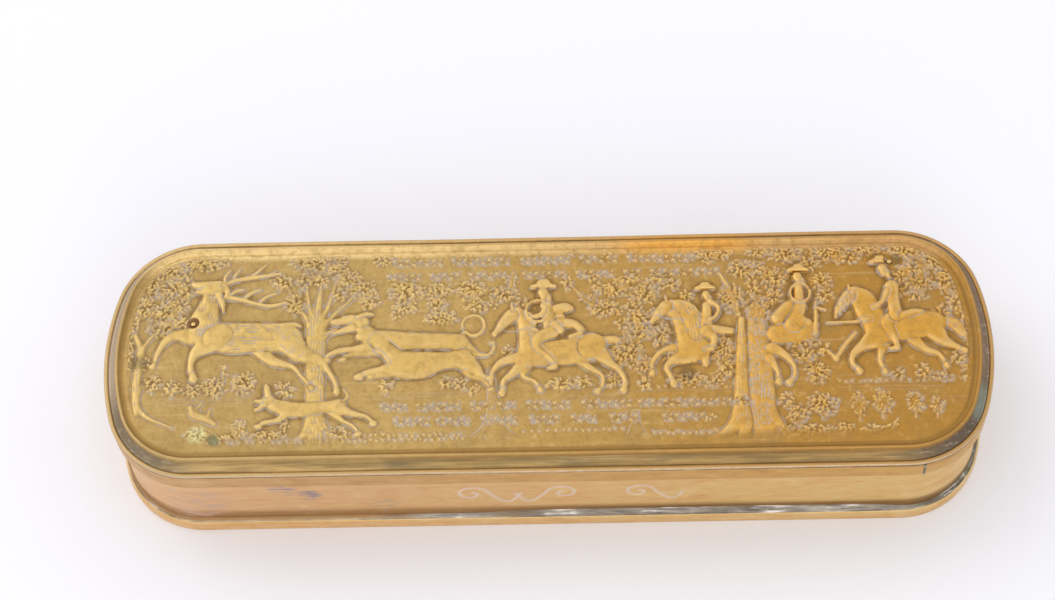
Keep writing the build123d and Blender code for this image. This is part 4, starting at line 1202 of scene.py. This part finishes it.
def lid_brass():
    """Gilded brass: rubbed bright on the high places, with a pale grey deposit against the
    edges, painted highlights and shade on the relief and border, painted shade to the right,
    and a cove painted dark as a reflection of the dark surroundings, with tarnish streaks."""
    p = Paint("stamped_brass")
    x, y, z = p.axes
    inset, grime = p.attribute("inset"), p.attribute("grime")
    hollow, on_top, rise = p.attribute("hollow"), p.attribute("on_top"), p.attribute("rise")
    cloud = p.noise(38, 4, 0.55)
    patch = p.noise(95, 4, 0.6)
    speck = p.noise(1500, 3, 0.7)
    grain = p.noise(2600, 2, 0.6)
    streak = p.noise(60, 4, 0.65, stretch=(1, 14, 14))
    scratch = p.noise(520, 4, 0.75, stretch=(0.06, 1.6, 1))
    mottle = p.noise(620, 4, 0.7)
    thread = p.noise(900, 3, 0.7, stretch=(0.05, 1.8, 1.8))

    # the sheet, more orange to the right and darker there in painted shade, away from the light
    # at the left, with a bright strip along its back
    rightward = p.ramp(p.shifted(x, cloud, 0.06), -0.02, 0.095)
    p.colour = p.mix(rightward, tone(198, 166, 104), tone(188, 140, 66))
    p.lay(tone(176, 146, 94), p.ramp(x, -0.02, -0.07), 0.5)
    p.lay(tone(178, 148, 96), p.ramp(patch, 0.45, 0.7), 0.4)
    p.lay(p.mix(rightward, tone(246, 216, 154), tone(214, 170, 112)),
          p.ramp(y, 0.0150, 0.0192), p.ramp(inset, 5.6, 4.4), 0.85)
    p.lay(tone(236, 172, 72), band(p, x, 0.019, 0.032, 0.01), p.ramp(y, 0.017, 0.0205), 0.8)
    p.lay(tone(150, 116, 64), p.ramp(speck, 0.5, 0.72), 0.34)
    p.lay(tone(162, 128, 76), p.ramp(mottle, 0.46, 0.66), 0.4)
    p.lay(tone(224, 192, 132), p.ramp(mottle, 0.44, 0.3), 0.35)
    p.lay(tone(228, 200, 146), p.ramp(scratch, 0.56, 0.72), 0.3)

    # the picture: rubbed tops, raised edges painted lighter as highlights, painted shade and
    # dirt in the hollows, a pale deposit
    p.lay(p.mix(rightward, tone(226, 192, 118), tone(226, 172, 78)),
          p.ramp(rise, 0.12, 0.34), p.ramp(mottle, 0.62, 0.42, 0.45, 0.8))
    # painted highlight: places that stand above their surroundings are painted lighter
    p.lay(tone(238, 206, 142), p.ramp(hollow, -0.03, -0.16), 0.5)
    # painted shade, with dirt: places that lie below their surroundings are painted darker
    p.lay(tone(122, 92, 52), p.ramp(hollow, 0.02, 0.2), 0.6)
    pale = p.times(p.ramp(grime, 0.12, 0.8), p.ramp(patch, 0.25, 0.6, 0.55, 1))
    p.lay(tone(196, 182, 168), pale)

    # the border, from the field's edge out to the lip
    ends = p.ramp(p.math("ABSOLUTE", x), 0.058, 0.072)
    left = p.ramp(x, 0.0, -0.05)
    # painted shade: the groove's inner slope, facing outward, is painted brown everywhere but
    # at the back
    p.lay(tone(150, 114, 62), band(p, inset, 3.15, 3.75, 0.3), p.ramp(y, 0.016, 0.008), 0.65)
    # painted reflection: the cove is painted dark, as the dark surroundings reflected in it,
    # with tarnish streaks and patches along the front
    cove = p.times(band(p, inset, 0.95, 2.15, 0.25), p.ramp(streak, 0.15, 0.5, 0.6, 1))
    front = p.mix(p.ramp(x, 0.0, -0.04), tone(188, 158, 106), tone(218, 186, 128))
    front = p.mix(p.ramp(streak, 0.35, 0.7), front, tone(150, 128, 88))
    front = p.mix(p.times(p.ramp(thread, 0.5, 0.66), 0.6), front, tone(118, 96, 60))
    front = p.mix(p.times(p.ramp(thread, 0.42, 0.3), 0.6), front, tone(226, 204, 160))
    front = p.mix(p.times(p.ramp(cloud, 0.5, 0.68), p.ramp(streak, 0.35, 0.6)), front,
                  tone(118, 106, 84))
    # painted reflection at the cove's ends: grey, lighter at the left and darker towards the
    # front corners
    grey_reflection = p.mix(left, tone(154, 138, 124), tone(204, 188, 170))
    near = p.times(p.ramp(y, -0.004, -0.013), p.ramp(streak, 0.2, 0.5, 0.6, 1))
    grey_reflection = p.mix(near, grey_reflection, p.mix(left, tone(112, 106, 98), tone(150, 136, 116)))
    grey_reflection = p.mix(p.times(p.ramp(thread, 0.46, 0.34), 0.5), grey_reflection, tone(214, 204, 192))
    p.lay(p.mix(ends, front, grey_reflection), cove, 0.88)
    # painted highlight: the crest is painted lighter, most at the left, where the light comes
    # from
    p.lay(p.mix(left, tone(186, 146, 88), tone(212, 182, 128)),
          band(p, inset, 2.35, 2.8, 0.15), 0.5)
    # painted highlight: the lip's roll is painted lighter, most at the left
    p.lay(p.mix(left, tone(204, 166, 112), tone(208, 178, 128)), p.ramp(inset, 0.8, 0.55), 0.75)
    p.lay(tone(214, 196, 170), p.ramp(inset, 0.3, 0.05), p.ramp(mottle, 0.4, 0.6, 0.3, 0.8))
    p.lay(tone(170, 134, 80), p.math("SUBTRACT", 1, on_top), p.ramp(inset, 2.9, 3.2),
          p.ramp(z, 0.0243, 0.0241))

    # verdigris at the left, a crust in the right-hand cove, and brown stains
    p.lay(tone(222, 216, 160), spot(p, (-0.0620, -0.0166, 0.0249), 0.0024),
          p.ramp(speck, 0.35, 0.55), on_top, 0.85)
    p.lay(tone(104, 116, 88), spot(p, (-0.0590, -0.0178, 0.0247), 0.0016), on_top, 0.6)
    p.lay(tone(172, 184, 172), spot(p, (0.0762, -0.0118, 0.0232), 0.0046), cove, 0.6)
    for place, reach in (((-0.0733, -0.002, 0.025), 0.002), ((0.0250, -0.0062, 0.0248), 0.0022),
                         ((0.0634, 0.0163, 0.0249), 0.0016)):
        p.lay(tone(96, 80, 58), spot(p, place, reach), on_top, 0.5)
    left_rivet = (MM * RIVETS[0][0], MM * RIVETS[0][1], 0.0250)
    p.lay(tone(132, 92, 62), p.ramp(spot(p, left_rivet, 0.0014, 0.1), 0.05, 0.4), on_top, 0.7)

    rough = p.shifted(p.ramp(patch, 0.2, 0.8, 0.44, 0.58), pale, 0.2)
    rough = p.math("ADD", rough, p.times(cove, 0.08), clamp=True)
    metal = p.math("SUBTRACT", 1, p.times(pale, 0.5))
    normal = p.bump(grain, 0.025, 0.5)
    normal = p.bump(speck, 0.05, 0.5, onto=normal)
    normal = p.bump(mottle, 0.05, 0.5, onto=normal)
    normal = p.bump(scratch, 0.04, 0.4, onto=normal)
    return p.finish(Roughness=rough, Metallic=metal, Normal=normal)


BRUISES = (
    ((-0.0475, -0.0228, 0.0146), 0.0030, (176, 156, 164)),
    ((-0.0430, -0.0228, 0.0124), 0.0026, (170, 150, 150)),
    ((-0.0300, -0.0228, 0.0080), 0.0034, (190, 172, 140)),
    ((-0.0640, -0.0228, 0.0090), 0.0080, (210, 178, 154)),
)


def strip_metal(name, left, right, stain, blotch, low=None):
    """Drawn strip with long rubbing marks, its colour shifting along the box.

    low, for the wall, is a height, how softly it ends, and the brown of the painted shade below
    it, along the wall's foot above the solder.
    Such a strip also has the wall's bruises.
    """
    p = Paint(name)
    x, _, z = p.axes
    cloud = p.noise(45, 4, 0.55, stretch=(1, 1, 2))
    patch = p.noise(130, 5, 0.62, stretch=(1, 1, 2.5), warp=0.6)
    streak = p.noise(220, 4, 0.6, stretch=(0.12, 0.12, 5))
    scratch = p.noise(900, 3, 0.7, stretch=(0.05, 0.05, 2.2), warp=0.2)
    fleck = p.noise(520, 4, 0.7, stretch=(0.5, 0.5, 1.6))
    p.colour = p.mix(p.ramp(p.shifted(x, cloud, 0.04), -0.05, 0.07), left, right)
    p.lay(stain, p.ramp(patch, 0.48, 0.75), 0.55)
    p.lay(blotch, p.ramp(patch, 0.42, 0.25), 0.5)
    p.lay(stain, p.ramp(streak, 0.45, 0.75), 0.35)
    p.lay(stain, p.ramp(fleck, 0.5, 0.7), 0.35)
    p.lay(blotch, p.ramp(fleck, 0.44, 0.3), 0.4)
    if low:
        line, fade, shade = low
        # painted shade: the wall's foot is darker above the solder ledge, more so to the right,
        # where the ledge is broad
        p.lay(shade, p.ramp(p.shifted(z, streak, -0.001), line + fade, line),
              p.ramp(x, -0.03, 0.01, 0.55, 0.85))
        streaks = p.ramp(p.noise(700, 4, 0.7, stretch=(0.3, 0.3, 1.5)), 0.42, 0.6)
        for place, reach, bruise in BRUISES:
            p.lay(tone(*bruise), spot(p, place, reach, 1.2), streaks)
    p.lay(tone(236, 222, 214), p.attribute("cut"), 0.9)
    rough = p.shifted(p.ramp(patch, 0.2, 0.8, 0.36, 0.5), p.ramp(scratch, 0.5, 0.8), 0.1)
    normal = p.bump(streak, 0.04, 0.3)
    normal = p.bump(scratch, 0.02, 0.3, onto=normal)
    return p.finish(Roughness=rough, Normal=normal)


def solder_metal():
    """Dull lead-tin solder, dark in its hollows and rubbed pale in places."""
    p = Paint("soft_solder")
    x, _, z = p.axes
    lump = p.noise(420, 4, 0.65, stretch=(0.25, 0.5, 1))
    patch = p.noise(70, 4, 0.6)
    fleck = p.noise(1300, 3, 0.6, stretch=(0.1, 0.4, 1.6))
    body = p.mix(p.ramp(x, -0.045, -0.02), tone(220, 196, 158), tone(182, 172, 156))
    # darker and greener at the right end: painted shade, with a green tint
    body = p.mix(p.ramp(x, 0.060, 0.070), body, tone(128, 120, 92))
    p.colour = p.mix(p.ramp(lump, 0.3, 0.7), tone(126, 116, 104), body)
    p.lay(tone(246, 240, 232), p.ramp(patch, 0.5, 0.62), p.ramp(fleck, 0.47, 0.6))
    p.lay(tone(92, 84, 74), p.ramp(fleck, 0.44, 0.36), 0.6)
    p.lay(tone(176, 132, 84), p.ramp(x, -0.020, -0.036), p.ramp(z, 0.00305, 0.00325), 0.85)
    p.lay(tone(160, 134, 92), p.ramp(patch, 0.45, 0.3), 0.6)
    return p.finish(Roughness=p.ramp(lump, 0.2, 0.8, 0.34, 0.58),
                    Normal=p.bump(lump, 0.12, 0.5))


def hinge_metal(name, base, worn):
    """Worked brass or wire, darkened, with file marks along it."""
    p = Paint(name)
    patch = p.noise(240, 4, 0.6)
    file_marks = p.noise(700, 3, 0.6, stretch=(0.08, 1, 1))
    p.colour = p.mix(p.ramp(patch, 0.3, 0.7), base, worn)
    p.lay(tone(120, 96, 60), p.ramp(file_marks, 0.5, 0.75), 0.4)
    return p.finish(Roughness=p.ramp(file_marks, 0.25, 0.75, 0.32, 0.5),
                    Normal=p.bump(file_marks, 0.03, 0.4))


def rivet_metal():
    """A rivet's bright centre in a dark ring of grease."""
    p = Paint("rivet_brass")
    speck = p.noise(900, 3, 0.6)
    p.colour = p.mix(p.ramp(p.shifted(p.attribute("ring"), speck, 0.3), 0.75, 1.05),
                     tone(226, 190, 122), tone(88, 58, 40))
    return p.finish(Roughness=p.ramp(speck, 0.3, 0.7, 0.3, 0.5),
                    Normal=p.bump(speck, 0.02, 0.3))


def paint_onto(thing, material):
    """Give a piece one material all over."""
    thing.data.materials.clear()
    thing.data.materials.append(material)


# ------------------------------------------------------------------ pieces

PAN_INSET = 0.2
PAN_FLOOR = 0.7
WALL_INSET = 1.2
SKIRT_INSET = 0.2
SKIRT_SEAM_ANGLE = 11.0    # the seam's place round the front right corner
SEAM_GAP = 0.4
WALL_T = 0.8
WALL_SEAM_X = -58.0
CUT_DEPTH, CUT_WIDTH = 0.14, 0.25    # of the engraving
SCROLL_Z = 11.6            # height of the engraving on the front wall
HEAD_R = 0.9               # of a rivet's flat head, under the field
SHANK_R = 0.55
RIVET_LOW, RIVET_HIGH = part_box("lid_rivets")
RIVETS = [(RIVET_LOW.x / MM + HEAD_R, RIVET_LOW.y / MM + HEAD_R),
          (RIVET_HIGH.x / MM - HEAD_R, RIVET_HIGH.y / MM - HEAD_R)]
FIELD_ROWS, FIELD_COLS = 110, 420


def rear_place(x):
    """Distance along the lip's edge to a place on its rear run."""
    return sum(run[0] for run in plan_segments(0)[:4]) + CORNER_X - x


def pan(material):
    """The base: a flat floor and a rolled rim over a slightly narrower foot."""
    inset = PAN_INSET
    foot, inner, roll = inset + 0.15, inset + 0.6, 2.0
    section = [
        (3.0, 0.0), (1.0, 0.0), (foot + 0.25, 0.0), (foot + 0.07, 0.06), (foot, 0.25),
        (foot, 0.95), *arc((foot, 1.1), (inset, roll), (foot + 0.05, 2.9), 9),
        (foot + 0.2, 2.98), (foot + 0.36, 2.9), (inner, 2.6), (inner, PAN_FLOOR),
        (3.0, PAN_FLOOR),
    ]

    def bend(places, k):
        """The rim isn't quite even round its top."""
        lift = 0.0 if section[k][1] < 1 else 1.0
        wander = ripple(places, plan_length(0), 0.06, 31, waves=(4, 7, 11, 19, 33))
        return lift * wander, lift * 0.8 * wander, 0

    paint_onto(swept("base_pan_rolled", section, "box", "base_pan",
                     bend, closed_floor=True), material)


def wall(material):
    """The bent copper strip, with small dents and engraved scrolls on its front."""
    outer, inner = WALL_INSET, WALL_INSET + WALL_T
    low, high = PAN_FLOOR, WALL_HIGH.z / MM
    levels = np.linspace(low, high - 0.1, 62)
    section = [(outer, z) for z in levels] + [(outer + 0.12, high), (inner - 0.12, high)]
    section += [(inner, z) for z in levels[::-3]] + [(inner, low)]
    strokes = scrolls()

    def bend(places, k):
        inset, z = section[k]
        whole = plan_length(0)
        sway = ripple(places, whole, 0.07, 41, waves=(5, 9, 14, 23))
        amount = min(1.0, (z - low) / 3) * min(1.0, (high - z) / 2)
        cut = np.zeros_like(places)
        if inset < inner - 0.2:
            s = (places + whole / 2) % whole - whole / 2
            near = np.abs(s) < 24
            if near.any():
                cut[near] = engraved(strokes, s[near], z)
        return amount * sway + cut, 0, cut / CUT_DEPTH

    gap = (rear_place(WALL_SEAM_X), SEAM_GAP)
    paint_onto(swept("side_wall_copper", section, "box", "side_wall", bend,
                     step=0.3, gap=gap), material)


def scrolls():
    """Three plain pen flourishes, as (x, z) curves on the front wall."""
    curves = []
    for x, size, flip in ((-14.0, 1.35, 1), (2.5, 1.3, -1), (16.0, 1.25, 1)):
        turn = np.linspace(0, 2.4 * math.pi, 34)
        radius = 2.4 * size * (1 - turn / (2.9 * math.pi))
        curves.append(np.column_stack([x + flip * radius * np.cos(turn),
                                       SCROLL_Z + 0.9 * radius * np.sin(turn)]))
        sweep = np.linspace(0, 1, 20)
        curves.append(np.column_stack([
            x + flip * size * (2.4 + 4.2 * sweep),
            SCROLL_Z - size * 3.2 * np.sin(math.pi * sweep) * (0.5 + 0.5 * sweep)]))
    return curves


def engraved(curves, s, z):
    """How deep a graver cut the wall at places along one level."""
    depth = np.zeros_like(s)
    for curve in curves:
        if z < curve[:, 1].min() - 1 or z > curve[:, 1].max() + 1:
            continue
        for (x0, z0), (x1, z1) in zip(curve, curve[1:]):
            span = (x1 - x0) ** 2 + (z1 - z0) ** 2 + 1e-9
            t = np.clip(((s - x0) * (x1 - x0) + (z - z0) * (z1 - z0)) / span, 0, 1)
            off = np.hypot(s - x0 - t * (x1 - x0), z - z0 - t * (z1 - z0))
            depth = np.maximum(depth, CUT_DEPTH * np.exp(-(off / CUT_WIDTH) ** 2))
    return depth


def skirt(material):
    """The lid's band, its lower edge smoothed over."""
    outer, inner = SKIRT_INSET, SKIRT_INSET + SHEET_T
    low, high = SKIRT_LOW.z / MM, SKIRT_HIGH.z / MM
    section = [(outer + 0.3, low), (outer + 0.1, low + 0.06), (outer, low + 0.25)]
    section += [(outer, z) for z in np.linspace(low + 0.6, high, 9)]
    section += [(inner, high), (inner, low + 0.25), (inner - 0.12, low + 0.05)]

    def bend(places, k):
        amount = 1 - (section[k][1] - low) / (high - low)
        return (amount * ripple(places, plan_length(0), 0.06, 51, waves=(4, 7, 12, 20)),
                amount * ripple(places, plan_length(0), 0.1, 52, waves=(3, 6, 10, 17)), 0)

    gap = (CORNER_X + CORNER_R * math.radians(SKIRT_SEAM_ANGLE), SEAM_GAP)
    paint_onto(swept("lid_skirt_band", section, "lid", "lid_skirt", bend,
                     step=0.6, gap=gap), material)


def base_solder(material):
    """The fillet between rim and wall: thin at the left, a broad ledge at the right."""
    edge, inner = PAN_INSET + 0.2, PAN_INSET + 0.6
    wall_at = WALL_INSET
    section = [(inner, PAN_FLOOR), (inner, 2.85), (edge + 0.12, 2.9),
               *arc((edge + 0.1, 2.92), (inner + 0.05, 3.15), (wall_at, 3.6), 9),
               (wall_at, PAN_FLOOR)]

    def bend(places, k):
        z = section[k][1]
        if z < 1 or k < 3:
            return 0, 0, 0
        whole = plan_length(0)
        lumps = ripple(places, whole, 0.16, 61, waves=(9, 16, 27, 45, 80, 140))
        fine = ripple(places, whole, 0.05, 62, waves=(110, 170, 230, 310))
        share = (z - 2.9) / 0.7
        s = (places + whole / 2) % whole - whole / 2
        ledge = np.clip((s + 16) / 14, 0, 1) * np.clip((66 - s) / 12, 0, 1)
        full = 0.9 * ledge * ledge * (3 - 2 * ledge)
        return 0, (0.15 + share) * (lumps + fine + 0.12) + share * full, 0

    paint_onto(swept("base_solder_bead", section, "box", "base_joint_solder", bend,
                     step=0.3, sharp=60), material)


def lid_solder(material):
    """Solder drawn along the joint between the skirt and the lip, inside and out."""
    outer, inner, top = SKIRT_INSET, SKIRT_INSET + SHEET_T, LIP_BOTTOM
    section = [(outer - 0.15, top), (outer - 0.05, top - 0.16), (outer, top - 0.36),
               (outer + 0.05, top), (inner - 0.05, top), (inner, top - 0.32),
               (inner + 0.08, top - 0.12), (inner + 0.26, top)]

    def bend(places, k):
        if section[k][1] == top:
            return 0, 0, 0
        return 0, ripple(places, plan_length(0), 0.06, 71, waves=(15, 31, 52, 90)), 0

    paint_onto(swept("lid_solder_bead", section, "lid", "lid_joint_solder", bend,
                     step=0.5, sharp=60), material)


def rivets(material):
    """Low domed rivet heads in the field, and their flat heads underneath."""
    points, faces, ring = [], [], []
    profile = [(0.02, 0.2), (0.25, 0.19), (0.42, 0.13), (0.53, 0.03), (SHANK_R, -0.1),
               (SHANK_R, -SHEET_T), (HEAD_R, -SHEET_T), (HEAD_R, -0.78), (0.75, -0.85),
               (0.02, -0.85)]
    sides = 32
    for x, y in RIVETS:
        start = len(points)
        for r, z in profile:
            for i in range(sides):
                a = 2 * math.pi * i / sides
                points.append((x + r * math.cos(a), y + r * math.sin(a), FIELD_TOP + z))
                ring.append(min(1.0, r / SHANK_R))
        rows = [list(range(start + k * sides, start + (k + 1) * sides))
                for k in range(len(profile))]
        for a, b in zip(rows, rows[1:]):
            faces += loop(b, a)
        faces += [tuple(rows[0]), tuple(rows[-1][::-1])]
    obj = make_object("lid_rivet_heads", points, faces, "lid", {"ring": ring}, sharp=50)
    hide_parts("lid_rivets")
    paint_onto(obj, material)


carve()

brass = lid_brass()
paint_onto(lid_plate(), brass)
skirt(strip_metal("skirt_brass", tone(208, 168, 116), tone(212, 168, 96),
                  tone(182, 138, 84), tone(228, 194, 134)))
# the wall's low gives the painted shade along its foot, above the solder
wall(strip_metal("wall_copper", tone(228, 188, 140), tone(230, 196, 130),
                 tone(218, 162, 106), tone(240, 220, 162),
                 low=(0.0044, 0.0024, tone(132, 94, 44))))
pan(strip_metal("base_brass", tone(236, 196, 138), tone(234, 200, 140),
                tone(206, 160, 96), tone(246, 226, 190)))
solder = solder_metal()
base_solder(solder)
lid_solder(solder)
rivets(rivet_metal())
hinge_brass = hinge_metal("hinge_brass", tone(196, 154, 92), tone(214, 176, 112))
wire = hinge_metal("pin_wire", tone(176, 138, 84), tone(204, 168, 110))
for name in ("lid_hinge_leaf", "body_hinge_leaf"):
    paint_onto(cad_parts[name], hinge_brass)
paint_onto(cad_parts["hinge_pin"], wire)
for name in ("wall_seam_solder", "skirt_seam_solder", "lid_leaf_solder", "body_leaf_solder"):
    paint_onto(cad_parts[name], solder)


# ------------------------------------------------------------------ stage

def floor():
    """A plain pale floor, wide enough to fill the view."""
    mesh = bpy.data.meshes.new("studio_floor")
    half = 3.0
    mesh.from_pydata([(-half, -half, 0), (half, -half, 0), (half, half, 0), (-half, half, 0)],
                     [], [(0, 1, 2, 3)])
    obj = bpy.data.objects.new("studio_floor", mesh)
    bpy.context.scene.collection.objects.link(obj)
    paper = Paint("pale_paper", metallic=0.0)
    paper.shader.inputs["Base Color"].default_value = tone(247, 247, 253)
    paper.shader.inputs["Roughness"].default_value = 0.9
    paint_onto(obj, paper.material)


def softbox(name, place, size, power):
    """A large soft lamp that faces the box."""
    lamp = bpy.data.lights.new(name, "AREA")
    lamp.energy, lamp.size = power, size
    obj = bpy.data.objects.new(name, lamp)
    bpy.context.scene.collection.objects.link(obj)
    obj.location = place
    obj.rotation_euler = (-Vector(place)).to_track_quat("-Z", "Y").to_euler()


def studio():
    """Even white surroundings, a little brighter from above and from the left."""
    world = bpy.data.worlds.new("studio")
    bpy.context.scene.world = world
    world.use_nodes = True
    nodes, links = world.node_tree.nodes, world.node_tree.links
    background = nodes["Background"]
    way = nodes.new("ShaderNodeTexCoord")
    dot_product = nodes.new("ShaderNodeVectorMath")
    dot_product.operation = "DOT_PRODUCT"
    dot_product.inputs[1].default_value = Vector((-0.55, 0.25, 0.8)).normalized()
    spread = nodes.new("ShaderNodeMapRange")
    for key, value in ((1, -0.4), (2, 1.0), (3, 0.80), (4, 0.98)):    # from, then to
        spread.inputs[key].default_value = value
    links.new(way.outputs["Generated"], dot_product.inputs[0])
    links.new(dot_product.outputs["Value"], spread.inputs[0])
    links.new(spread.outputs[0], background.inputs["Strength"])
    background.inputs["Color"].default_value = (1, 1, 1.01, 1)
    softbox("window", (-0.7, 0.35, 0.9), 0.8, 2.0)
    softbox("fill", (0.15, -0.85, 0.55), 0.5, 1.2)
    bpy.context.scene.view_settings.view_transform = "Standard"


def camera():
    """The photograph's view: from the front, high up, turned a little."""
    azimuth, elevation, roll = (math.radians(a) for a in (3.4185, 60.320, -4.1108))
    distance, focal = 0.5139, 94.03
    target = Vector((-0.00381, 0.0171, 0.01142))
    back = Vector((math.sin(azimuth) * math.cos(elevation),
                   -math.cos(azimuth) * math.cos(elevation), math.sin(elevation)))
    level = (-back).cross(Vector((0, 0, 1))).normalized()
    over = level.cross(-back)
    right = level * math.cos(roll) + over * math.sin(roll)
    up = over * math.cos(roll) - level * math.sin(roll)
    lens = bpy.data.cameras.new("camera")
    lens.lens, lens.sensor_width, lens.sensor_fit = focal, 36.0, "HORIZONTAL"
    lens.clip_start, lens.clip_end = 0.01, 20
    obj = bpy.data.objects.new("camera", lens)
    bpy.context.scene.collection.objects.link(obj)
    turn = Matrix((right, up, back)).transposed().to_4x4()
    obj.matrix_world = Matrix.Translation(target + back * distance) @ turn
    bpy.context.scene.camera = obj


floor()
studio()
camera()
